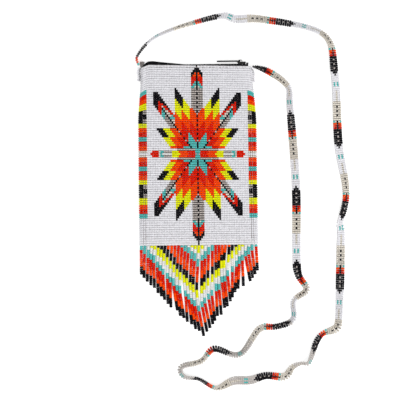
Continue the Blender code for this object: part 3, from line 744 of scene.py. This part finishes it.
# Its sewn ends: how far each leans outwards, waves, lies inwards, stops short and rises first
strapEnds = {
    "strap_end_left": {"lean": 0.24, "wave": 0.0010, "inset": 0.0, "short": 0.0030, "rise": 0.0020},
    "strap_end_right": {"lean": -0.35, "wave": 0.0003, "inset": 0.0018, "short": 0.0045,
                        "rise": 0.0034},
}
# Where the black tips of the motif lie, in metres from the left end; the last is past the right end
motifTips = [0.0300, 0.1065, 0.1823, 0.2562, 0.3292, 0.4022, 0.4771, 0.5502, 0.6224, 0.6900,
             0.7657, 0.8402, 0.9120, 0.9860, 1.0620, 1.1320]
# The frame's route: X, Y and the strap's turn from flat, in degrees
strapRoute = [
    (-0.0591, 0.1441, 80), (-0.0362, 0.1646, 68), (0.0225, 0.1822, 50), (0.0399, 0.1791, 12),
    (0.0669, 0.1785, 34), (0.1268, 0.1632, 52), (0.1382, 0.1247, 25), (0.1413, 0.0536, 12),
    (0.1483, 0.0035, 42), (0.1410, -0.0289, 44), (0.1427, -0.0349, 28), (0.1395, -0.1209, -40),
    (0.1357, -0.1327, 10), (0.1246, -0.1360, 56), (0.1170, -0.1443, 48), (0.1089, -0.1666, 64),
    (0.1027, -0.1661, 72), (0.0917, -0.1704, 50), (0.0848, -0.1799, 30), (0.0656, -0.1783, 38),
    (0.0505, -0.1831, 15), (0.0325, -0.1835, 18), (0.0158, -0.1905, 60), (-0.0015, -0.1810, 72),
    (-0.0164, -0.1787, 62), (-0.0195, -0.1686, 62), (0.0013, -0.1631, 62), (0.0139, -0.1506, 55),
    (0.0396, -0.1571, 60), (0.0595, -0.1314, 48), (0.0762, -0.1296, 60), (0.0939, -0.1226, 55),
    (0.0943, -0.1036, 60), (0.1079, -0.0928, 52), (0.0996, -0.0784, 44), (0.0978, -0.0588, 10),
    (0.0982, 0.0112, 10), (0.0929, 0.0922, 45), (0.0914, 0.1108, 58), (0.0731, 0.1256, 52),
]


def tabTop(name):
    # where the strap leaves its sewn end
    low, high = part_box(name)
    middle = (low.x + high.x) / 2
    inset = math.copysign(strapEnds[name]["inset"], middle)
    return Vector((middle - inset, high.y + strap["floorGap"], 90))


def strapLine():
    left, right = (tabTop(name) for name in strapEnds)
    leftBend, rightBend = (tabTop(name) + Vector((0, end["rise"], 0))
                           for name, end in strapEnds.items())
    route = [left, leftBend] + [Vector(point) for point in strapRoute] + [rightBend, right]
    spans = len(route) - 1
    fine = [curvePoint(route, spans * step / strap["samples"])
            for step in range(strap["samples"] + 1)]
    length = lineReach(fine)[-1]
    count = round(length / strap["step"])
    even = pointsAt(fine, [length * step / count for step in range(count + 1)])
    return relaxed(relaxed(even, strap["foldReach"]), strap["foldReach"])


def rowPlaces(length):
    # distance from the left end and row of the motif, for every row of the strap
    rows = strap["motifRows"]
    places = []
    for tip, after in zip(motifTips, motifTips[1:]):
        places += [(mix(tip, after, row / rows), row) for row in range(rows)]
    pitch = (motifTips[1] - motifTips[0]) / rows
    early = [(motifTips[0] - pitch * back, rows - back) for back in range(1, rows)]
    return [place for place in sorted(early + places) if pitch / 2 < place[0] < length - pitch / 2]


def strapRows():
    # centre, direction across and row of the motif, for each row of the strap
    line = strapLine()
    places = rowPlaces(lineReach(line)[-1])
    picked = pointsAt(line, [distance for distance, _ in places])
    rows = []
    for index, point in enumerate(picked):
        before, after = picked[max(index - 1, 0)], picked[min(index + 1, len(picked) - 1)]
        along = Vector((after.x - before.x, after.y - before.y, 0)).normalized()
        turn = math.radians(point.z)
        across = Vector((along.y, -along.x, 0)) * math.cos(turn) + Vector((0, 0, math.sin(turn)))
        height = strap["width"] * abs(math.sin(turn)) + strap["thickness"] * abs(math.cos(turn))
        centre = Vector((point.x, point.y, strap["floorGap"] + height / 2))
        rows.append((centre, across, places[index][1]))
    return rows


def strapColour(column, row, y):
    # tip, turquoise bars, spine, clear field, flame and black block, then the tip of the next motif
    across = abs(column)
    # painted shade: white beads low on the strap take a darker white
    ground = "dull" if y < strap["shadeBelow"] else "white"
    if row in (0, 33):
        return "black" if across <= row // 33 else ground
    if row in (4, 5):
        return "turquoise" if across == 1 else ground
    if 8 <= row <= 12:
        return "clear" if across == 0 else ground
    if 13 <= row <= 21:
        return "black" if across == 0 and row in (15, 17, 19) else "clear"
    if row == 22:
        return "black" if across == 0 else ("turquoise" if across == 2 else "clear")
    if 23 <= row <= 25:
        return "black" if across == 0 else ("rust" if row - 23 < across else "brick")
    if 26 <= row <= 32:
        return "silver" if across == 0 and row in (27, 29, 31) else "black"
    return ground


def makeStrap():
    rows = strapRows()
    step = strap["width"] / strap["columns"]
    middle = strap["columns"] // 2
    spots = []
    for centre, across, motifRow in rows:
        spots += [(centre + across * step * column, across, strapColour(column, motifRow, centre.y))
                  for column in range(-middle, middle + 1)]
    beads = beadsOn("strap_beads", spots, strap["beads"])
    edges = [middle + 0.5 - index for index in range(strap["columns"] + 1)]
    lines = [[centre + across * step * edge for centre, across, _ in rows] for edge in edges]
    warp = threadsOn("strap_warp", lines, strap["threadRadius"], sides=3, finish="thread")
    settle(beads, "strap_beads", "strap")
    settle(warp, "strap_beads")


makeStrap()


# Sewn ends of the strap, flat against the sides of the pouch and leaning a little
def makeStrapEnds():
    spots = []
    step = strap["width"] / strap["columns"]
    for name, end in strapEnds.items():
        low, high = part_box(name)
        side = math.copysign(1, low.x)
        bottom = low.y + end["short"]
        count = round((high.y - bottom) / rowPitch)
        axis = Vector((side * math.sin(end["lean"]), 0, math.cos(end["lean"])))
        for row in range(count):
            share = (row + 0.5) / count
            y = mix(high.y, bottom, share)
            wave = end["wave"] * (0.5 - math.cos(share * strap["endWaves"]) / 2)
            reach = pouchHalf(y) + pouch["bandGap"] + strap["thickness"] / 2 + wave - end["inset"]
            centre = Vector((side * reach, y, strap["floorGap"] + strap["width"] / 2))
            spots += [(centre + axis * step * (column - strap["columns"] // 2), axis, "white")
                      for column in range(strap["columns"])]
    beads = beadsOn("strap_end_beads", spots, strap["beads"] | strap["endBeads"])
    settle(beads, "strap_beads", *strapEnds)


makeStrapEnds()


# Front and back panels
panelBeads = {"Radius": pouch["beadRadius"], "Length": pouch["beadLength"], "Looseness": 0.00006,
              "Tilt": 0.045, "Size Spread": 0.025, "Seed": 3}


def panelX(column, y):
    return column / (pouch["columns"] / 2) * panelHalf(y)


def frontZ(y):
    return pouchDepth(y) - pouch["beadRadius"]


def backZ(y):
    return pouch["beadRadius"]


def panelSpots(height, colourOf):
    spots = []
    half = pouch["columns"] // 2
    for row in pouchRows:
        y = rowY(row)
        for column in range(-half, half + 1):
            place = clothPoint(panelX(column, y), y, height(y))
            spots.append((place, Vector((1, 0, 0)), colourOf(column, row)))
    return spots


def makeFront():
    spots = panelSpots(frontZ, starColour)
    ground = [spot for spot in spots if spot[2] == "white"]
    star = [spot for spot in spots if spot[2] != "white"]
    ground = beadsOn("front_ground_beads", ground, panelBeads)
    star = beadsOn("front_star_beads", star, panelBeads | {"Seed": 8})
    settle(ground, "panel_beads", "front_panel")
    settle(star, "panel_beads", "front_panel")


def makeBack():
    spots = panelSpots(backZ, lambda column, row: "white")
    plain = panelBeads | {"Sides": 6, "Seed": 14}
    half = len(spots) // 2
    settle(beadsOn("back_upper_beads", spots[:half], plain), "panel_beads", "back_panel")
    settle(beadsOn("back_lower_beads", spots[half:], plain | {"Seed": 15}), "panel_beads",
           "back_panel")


makeFront()
makeBack()


# Side bands: the rows go on round the pouch's sides
def sideArc(y, side, share, inset):
    # a point of the rounded side and the direction round it; share goes from the back to the front
    centre = panelHalf(y) + pouch["bandGap"]
    wide, deep = pouchHalf(y) - centre - inset, pouchDepth(y) / 2 - inset
    # even steps of the angle bunch up where the side is flattest, so they are eased there
    angle = math.pi * (share - 0.5)
    angle -= math.sin(2 * angle) * 0.5 * (wide - deep) / (wide + deep)
    point = Vector((side * (centre + wide * math.cos(angle)), y,
                    pouchDepth(y) / 2 + deep * math.sin(angle)))
    around = Vector((-side * wide * math.sin(angle), 0, deep * math.cos(angle))).normalized()
    return point, around


def bandPoint(y, side, share):
    point, around = sideArc(y, side, share, pouch["beadRadius"])
    near = smooth(1 - abs(y - rowY(slack["sagRow"])) / slack["sagReach"])
    point.y -= slack["sag"][side] * math.sin(math.pi * share) * near
    return clothPoint(*point), around


def makeBand(name, side, node):
    spots = []
    columns = pouch["bandColumns"]
    for row in pouchRows:
        for column in range(columns):
            point, around = bandPoint(rowY(row), side, (column + 0.5) / columns)
            spots.append((point, around, bandColour(column, row)))
    settle(beadsOn(name, spots, panelBeads | {"Seed": 20 + side}), "panel_beads", node)


makeBand("band_left_beads", -1, "side_band_left")
makeBand("band_right_beads", 1, "side_band_right")


# Warp threads between the columns of the panels and of the bands
warpThread = {"radius": 0.00012, "stations": 26}


def makeWarp():
    levels = [mix(mouthY - rowPitch / 4, bottomY + rowPitch / 4, share)
              for share in shares(warpThread["stations"])]
    edges = [index - pouch["columns"] / 2 for index in range(pouch["columns"] + 1)]
    lines = []
    for height in (frontZ, backZ):
        lines += [[clothPoint(panelX(edge, y), y, height(y)) for y in levels] for edge in edges]
    for side in (-1, 1):
        for index in range(1, pouch["bandColumns"]):
            lines.append([bandPoint(y, side, index / pouch["bandColumns"])[0] for y in levels])
    threads = threadsOn("warp_threads", lines, warpThread["radius"], sides=4, finish="thread")
    settle(threads, "panel_beads")


makeWarp()


# The mouth's edge: whip stitches, the lining's turned edge under them, and the zip's own stitches
mouth = {
    "stitchRadius": 0.00030,
    "stitchEvery": 2,  # columns
    "stitchSlant": 0.0011,
    "overEdge": [(-0.0024, -0.0003), (-0.0015, 0.0003), (-0.0008, 0.0003), (-0.0003, -0.0005),
                 (-0.0003, -0.0017), (-0.0006, -0.0025)],  # Y and Z of a stitch from the edge
    "edgeRadius": 0.00055,
    "edgeDepth": 0.0013,
    "edgeDrop": 0.0006,
    "zipStitchRadius": 0.00032,
    "zipStitchMargin": 3,  # columns at each side
    "zipStitchEvery": 2,
    "zipStitchNoise": (0.83, 3.1, 0.5),  # step for a column, and the line through the noise
    "zipStitchSkip": -0.12,  # where the noise is lower a stitch is missing
    "zipStitch": [(0.1, 0.0012), (0.35, 0.0006), (1.0, 0.0005), (1.3, 0.0012)],  # columns, depth
}


def makeMouth():
    half = pouch["columns"] / 2
    steps = len(mouth["overEdge"]) - 1
    stitches = []
    for index in range(0, pouch["columns"] + 1, mouth["stitchEvery"]):
        top = clothPoint(panelX(index - half, mouthY), mouthY, mouthDepth)
        stitches.append([top + Vector((mouth["stitchSlant"] * (step / steps - 0.5), y, z))
                         for step, (y, z) in enumerate(mouth["overEdge"])])
    settle(threadsOn("mouth_stitches", stitches, mouth["stitchRadius"], sides=5, finish="thread"),
           "panel_beads")

    edge = [clothPoint(panelX(step / 2 - half, mouthY), mouthY - mouth["edgeDrop"],
                       mouthDepth - mouth["edgeDepth"]) for step in range(1, pouch["columns"] * 2)]
    settle(threadsOn("lining_edge", [edge], mouth["edgeRadius"], sides=6, finish="lining"),
           "lining_cloth")

    y, margin = mouthY - rowPitch, mouth["zipStitchMargin"]
    stride, *lane = mouth["zipStitchNoise"]
    held = []
    for column in range(margin, pouch["columns"] - margin, mouth["zipStitchEvery"]):
        if noise.noise(Vector((column * stride, *lane))) > mouth["zipStitchSkip"]:
            held.append([clothPoint(panelX(column - half + share, y), y, mouthDepth - drop)
                         for share, drop in mouth["zipStitch"]])
    settle(threadsOn("zip_stitches", held, mouth["zipStitchRadius"], sides=5, finish="zipThread"),
           "zip_cloth")


makeMouth()


# Fringe: strands of beads that drop from the bottom edge to the floor
fringe = {
    "eachSide": 17,
    "inset": 0.00244,
    "gap": 0.0003,
    "fall": 0.012,
    "beadRadius": 0.00160,
    "beadLength": 0.00190,
    "beadPitch": 0.00193,
    "layer": 0.0006,  # every other strand lies this much higher
    "easing": 4,
    "threadRadius": 0.0002,
    "threadEvery": 3,  # points of a strand's line
    "lowerReach": 28.2,  # mm above the tip, where the strands have moved by lowerShift
    "upperReach": 47.0,  # and by upperShift
}
# Of each strand from left to right, in mm: its length, and how far it has moved to the right
strandLength = [28.9, 32.5, 36.2, 39.9, 42.4, 47.8, 51.0, 54.6, 58.8, 62.4, 65.3, 71.1, 73.0,
                76.9, 79.4, 84.3, 86.2, 91.4, 87.0, 83.4, 79.6, 76.2, 71.4, 70.2, 63.3, 61.9,
                56.9, 53.0, 47.8, 44.4, 41.7, 36.9, 33.8, 30.1, 26.3]
tipShift = [-0.6, -1.4, -1.6, -1.4, -1.2, -1.0, -1.0, -1.2, -1.2, -1.7, 1.4, 1.0, 1.1, 1.0, 2.1,
            2.7, 3.0, 3.9, 3.9, 3.7, 3.1, 1.9, 1.0, 1.5, 1.5, 1.0, 0.8, -0.7, -1.4, -1.7, 0.4,
            4.0, 3.2, 2.2, 1.2]
lowerShift = [-0.5, -0.5, -0.4, -1.1, -1.7, -1.6, -2.2, -2.8, -1.8, -2.3, -2.8, -2.6, -2.9, -0.4,
              -0.9, -1.6, -1.9, -1.1, -1.3, -1.9, -1.3, -1.3, -0.2, -0.6, -1.0, -1.5, -2.1, -0.4,
              0.5, 0.0, -0.5, -1.1, -1.5, -1.3, -1.2]
upperShift = [0, 0, 0, 0, 0, 0, 0, -1.2, -1.6, -1.5, -1.4, -1.9, -2.0, -2.3, -2.7, -2.5, -2.9,
              -2.9, -1.2, -1.7, -1.5, -0.2, -0.1, -0.6, -1.3, -2.1, -0.5, -0.6, 0, 0, 0, 0, 0, 0,
              0]
# Colours from the tip upwards, with the length of each in mm
strandColours = [("black", 9.0), ("orange", 7.5), ("red", 8.5), ("turquoise", 7.0),
                 ("pearl", 6.8), ("yellow", 8.0), ("black", 7.5), ("orange", 8.4), ("red", 8.4),
                 ("turquoise", 6.8), ("pearl", 5.8), ("yellow", 20.0)]


def strandColour(reach):
    # reach is the distance from the tip in mm
    for colour, length in strandColours:
        if reach < length:
            return colour
        reach -= length


def strandShift(index, reach):
    knots = [(0.0, tipShift[index]), (fringe["lowerReach"], lowerShift[index])]
    if upperShift[index]:
        knots.append((fringe["upperReach"], upperShift[index]))
    knots = [knot for knot in knots if knot[0] < strandLength[index]] + [(strandLength[index], 0.0)]
    for (low, first), (high, second) in zip(knots, knots[1:]):
        if reach <= high:
            return mix(first, second, (reach - low) / (high - low))


def strandLine(place):
    # from the tip up to the bottom edge, a point every millimetre or so
    index = place + fringe["eachSide"]
    length = strandLength[index]
    pitch = (pouchHalf(bottomY) - fringe["inset"]) / fringe["eachSide"]
    low = fringe["beadRadius"] + fringe["layer"] * (place % 2)
    steps = math.ceil(length)
    line = []
    for step in range(steps + 1):
        reach = length * step / steps
        left = (length - reach) / 1000
        line.append(Vector((place * pitch + strandShift(index, reach) / 1000,
                            bottomY - fringe["gap"] - left,
                            mix(low, pouch["hemDepth"] / 2, smooth(1 - left / fringe["fall"])))))
    return relaxed(relaxed(line, fringe["easing"]), fringe["easing"])


def makeFringe():
    spots, lines = [], []
    for place in range(-fringe["eachSide"], fringe["eachSide"] + 1):
        line = strandLine(place)
        length = lineReach(line)[-1]
        count = int(length / fringe["beadPitch"])
        places = [(index + 0.5) * length / count for index in range(count)]
        picked = pointsAt(line, places)
        for index, point in enumerate(picked):
            along = (picked[min(index + 1, count - 1)] - picked[max(index - 1, 0)]).normalized()
            spots.append((point, along, strandColour(places[index] * 1000)))
        lines.append(line[::fringe["threadEvery"]] + [line[-1]])
    nodes = [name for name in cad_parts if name.startswith("fringe_strand")]
    beads = beadsOn("fringe_beads", spots, panelBeads | {
        "Radius": fringe["beadRadius"], "Length": fringe["beadLength"], "Tilt": 0.06, "Seed": 40})
    threads = threadsOn("fringe_threads", lines, fringe["threadRadius"], sides=4, finish="thread")
    settle(beads, "fringe_beads", *nodes)
    settle(threads, "fringe_beads")
    print("fringe:", len(spots), "beads")


makeFringe()


# Cloth lining, a flat bag inside the beadwork, open at the mouth
lining = {
    "thickness": 0.0004,
    "inset": 0.0026,
    "facets": 18,
    "stations": 24,
    "wrinkle": 0.00012,
    "wrinkleWaves": (60, 45),  # how close they lie in X and Y
}


def makeLining():
    low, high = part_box("lining")
    wavesX, wavesY = lining["wrinkleWaves"]
    form = bmesh.new()

    def addLoop(y, inset):
        loop = []
        rising = shares(lining["facets"])
        for side, steps in ((1, rising), (-1, rising[::-1])):
            for share in steps:
                point = sideArc(y, side, share, inset)[0]
                wave = noise.noise(Vector((point.x * wavesX, y * wavesY, side))) * lining["wrinkle"]
                loop.append(form.verts.new((point.x + wave, y, point.z)))
        return loop

    def levels(bottom):
        return [mix(high.y, bottom, share) for share in shares(lining["stations"])]

    inner = lining["inset"] + lining["thickness"]
    outside = [addLoop(y, lining["inset"]) for y in levels(low.y)]
    inside = [addLoop(y, inner) for y in levels(low.y + lining["thickness"])]
    for loops in (outside, inside):
        for upper, lower in zip(loops, loops[1:]):
            joinLines(form, upper, lower)
        form.faces.new(loops[-1])
    joinLines(form, outside[0], inside[0])
    settle(finishMesh("cloth_lining", form, finishes["lining"]), "lining_cloth", "lining")


makeLining()


# Cloth that stands up over the mouth at the left: the back tape's fold and the lining's corner
fold = {
    "height": [(-0.0562, 0.0006), (-0.0540, 0.0020), (-0.0521, 0.0034), (-0.0491, 0.0041),
               (-0.0436, 0.0042), (-0.0356, 0.0034), (-0.0276, 0.0027), (-0.0096, 0.0014),
               (0.0064, 0.0008), (0.0144, 0.0004)],  # X, and how far it stands up there
    "tuck": 0.0016,  # how far it goes down behind the mouth
    "level": 0.00235,
    "thickness": 0.0006,
    "across": 6,
    "stations": 60,
    "wave": 0.0001,
    "waves": (160, 90, 4),  # how close they lie in X and Y, and the layer of the noise
}
cornerFlap = {
    "outline": [(0.1312, -0.0557, -0.0552), (0.1330, -0.0566, -0.0540),
                (0.1350, -0.0570, -0.0528), (0.1368, -0.0570, -0.0520),
                (0.1378, -0.0564, -0.0528)],  # height, left and right side
    "level": 0.0029,  # over the fold and under the pull when the zip is open
    "thickness": 0.0004,
    "crown": 0.00015,
    "ripple": 0.0001,
    "rippleWaves": 4000,
    "across": 5,
}


def slab(name, grid, thickness, material):
    # a closed sheet from a grid of points on its upper side
    form = bmesh.new()
    drop = Vector((0, 0, thickness))
    upper = [[form.verts.new(point) for point in row] for row in grid]
    lower = [[form.verts.new(point - drop) for point in row] for row in grid]
    for sheet in (upper, lower):
        for first, second in zip(sheet, sheet[1:]):
            joinLines(form, first, second, closed=False)

    def border(sheet):
        return (sheet[0] + [row[-1] for row in sheet[1:]] + sheet[-1][-2::-1]
                + [row[0] for row in sheet[-2:0:-1]])

    joinLines(form, border(upper), border(lower))
    return finishMesh(name, form, material)


def foldHeight(x):
    knots = fold["height"]
    for (start, first), (end, second) in zip(knots, knots[1:]):
        if x <= end:
            share = (x - start) / (end - start)
            return mix(first, second, smooth(share) * 0.5 + share * 0.5)
    return knots[-1][1]


def makeFold():
    left, right = fold["height"][0][0], fold["height"][-1][0]
    wavesX, wavesY, layer = fold["waves"]
    grid = []
    for x in [mix(left, right, share) for share in shares(fold["stations"])]:
        base = clothPoint(x, mouthY, 0.0).y - fold["tuck"]
        row = []
        for share in shares(fold["across"]):
            y = mix(base, base + fold["tuck"] + foldHeight(x), math.sin(share * math.pi / 2))
            wave = noise.noise(Vector((x * wavesX, y * wavesY, layer))) * fold["wave"]
            row.append(Vector((x, y, fold["level"] + wave)))
        grid.append(row)
    settle(slab("zip_tape_fold", grid, fold["thickness"], finishes["tape"]), "zip_cloth")


def makeCorner():
    grid = []
    for y, left, right in cornerFlap["outline"]:
        ripple = cornerFlap["ripple"] * math.sin(y * cornerFlap["rippleWaves"])
        row = []
        for share in shares(cornerFlap["across"]):
            rise = cornerFlap["crown"] * math.sin(share * math.pi) + ripple
            row.append(Vector((mix(left, right, share), y, cornerFlap["level"] + rise)))
        grid.append(row)
    # the corner wears painted shade: a darker, greyer copy of the lining cloth
    settle(slab("lining_corner", grid, cornerFlap["thickness"], finishes["corner"]), "lining_cloth")


makeFold()
makeCorner()


# Zip teeth, moulded round the edges of the tapes, and the cords sewn along those edges
teeth = {
    "start": {"zip_teeth_front": 0.00196, "zip_teeth_back": 0.00056},  # before the first tooth
    "pitch": 0.0028,
    "width": 0.0012,
    "drop": 0.0009,  # from the solids' height to that of the tapes' edges
    "roundness": 2,
    "crease": 0.45,
    "cordRadius": 0.00035,
    "cordIn": 0.0009,  # from the outer end of the teeth
    "cordStations": 40,
}


def toothTree():
    # a rounded tooth on every point
    tree, given = newTree("set teeth", {
        "Size": "Vector", "Roundness": "Int", "Crease": "Float", "Material": "Material"})
    block = addNode(tree, "GeometryNodeMeshCube", {"Size": given["Size"]})
    tooth = addNode(tree, "GeometryNodeSubdivisionSurface", {
        "Mesh": block, "Level": given["Roundness"], "Edge Crease": given["Crease"]})
    return endTree(tree, given, addNode(tree, "GeometryNodeInstanceOnPoints", {
        "Points": given["Geometry"], "Instance": smoothShaded(tree, tooth)}))


def makeTeeth():
    setTeeth = toothTree()
    cords = []
    for name, start in teeth["start"].items():
        low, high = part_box(name)
        size = high - low
        centre = (low + high) / 2 - Vector((0, teeth["drop"], 0))
        count = int((size.x - start - teeth["width"]) / teeth["pitch"]) + 1
        mesh = bpy.data.meshes.new(name + " places")
        mesh.from_pydata([(low.x + start + teeth["width"] / 2 + index * teeth["pitch"], centre.y,
                           centre.z) for index in range(count)], [], [])
        row = grow(name.replace("teeth", "tooth_row"), mesh, setTeeth, {
            "Size": (teeth["width"], size.y, size.z), "Roundness": teeth["roundness"],
            "Crease": teeth["crease"], "Material": finishes["nylon"]})
        settle(row, "zip_plastic", name)
        outward = 1 if name == "zip_teeth_front" else -1
        cordZ = centre.z + outward * (size.z / 2 - teeth["cordIn"])
        cords.append([Vector((mix(low.x, high.x, share), centre.y, cordZ))
                      for share in shares(teeth["cordStations"])])
    settle(threadsOn("tape_edge_cords", cords, teeth["cordRadius"], sides=6, finish="zipThread"),
           "zip_cloth")


makeTeeth()


# The rest of the zip keeps its solids and gets its finishes
def dressZip():
    parts = {"zip_tape_front": "tape", "zip_tape_back": "tape", "zip_slider": "enamel",
             "zip_pull": "enamel"}
    for name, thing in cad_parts.items():
        if name.startswith("zip_"):
            thing.data.materials.clear()
            thing.data.materials.append(finishes[parts.get(name, "nylon")])


dressZip()


# Floor, light and background
studio = {
    "floorSize": 3.0,
    "floor": {"colour": (0.82, 0.82, 0.82), "roughness": 0.9, "shine": 0.5},
    "floorGlow": 0.62,
    "worldLight": 0.72,
    "keyPower": 12.6,
    "keyPlace": (0.8, -0.8, 1.35),
    "keySize": 0.9,
}


def seenByEye(tree):
    # 1 for rays that show the background: from the camera, in gloss and through glass
    path = addNode(tree, "ShaderNodeLightPath").outputs
    total = maths(tree, "ADD", maths(tree, "ADD", path["Is Camera Ray"], path["Is Glossy Ray"]),
                  path["Is Transmission Ray"])
    return addNode(tree, "ShaderNodeClamp", {0: total})


def makeFloor():
    half = studio["floorSize"] / 2
    mesh = bpy.data.meshes.new("floor")
    mesh.from_pydata([(-half, -half, 0), (half, -half, 0), (half, half, 0), (-half, half, 0)], [],
                     [(0, 1, 2, 3)])
    floor = addObject("floor", mesh)
    material, tree, shader = newMaterial("floor paper", studio["floor"])
    glow = addNode(tree, "ShaderNodeEmission", {
        "Color": (1, 1, 1, 1), "Strength": studio["floorGlow"]})
    bright = addNode(tree, "ShaderNodeAddShader", {0: glow, 1: shader})
    pick = addNode(tree, "ShaderNodeMixShader", {0: seenByEye(tree), 1: shader, 2: bright})
    wire(tree, tree.nodes["Material Output"], {"Surface": pick})
    mesh.materials.append(material)


def makeLight():
    world = bpy.data.worlds.new("studio")
    bpy.context.scene.world = world
    world.use_nodes = True
    tree = world.node_tree
    strength = spread(tree, seenByEye(tree), studio["worldLight"], 1.0)
    wire(tree, tree.nodes["Background"], {"Color": (1, 1, 1, 1), "Strength": strength})
    key = bpy.data.lights.new("key", "AREA")
    key.energy = studio["keyPower"]
    key.size = studio["keySize"]
    lamp = addObject("key", key)
    lamp.location = studio["keyPlace"]
    lamp.rotation_euler = (-Vector(studio["keyPlace"])).to_track_quat("-Z", "Y").to_euler()


makeFloor()
makeLight()
bpy.context.scene.view_settings.view_transform = "Standard"
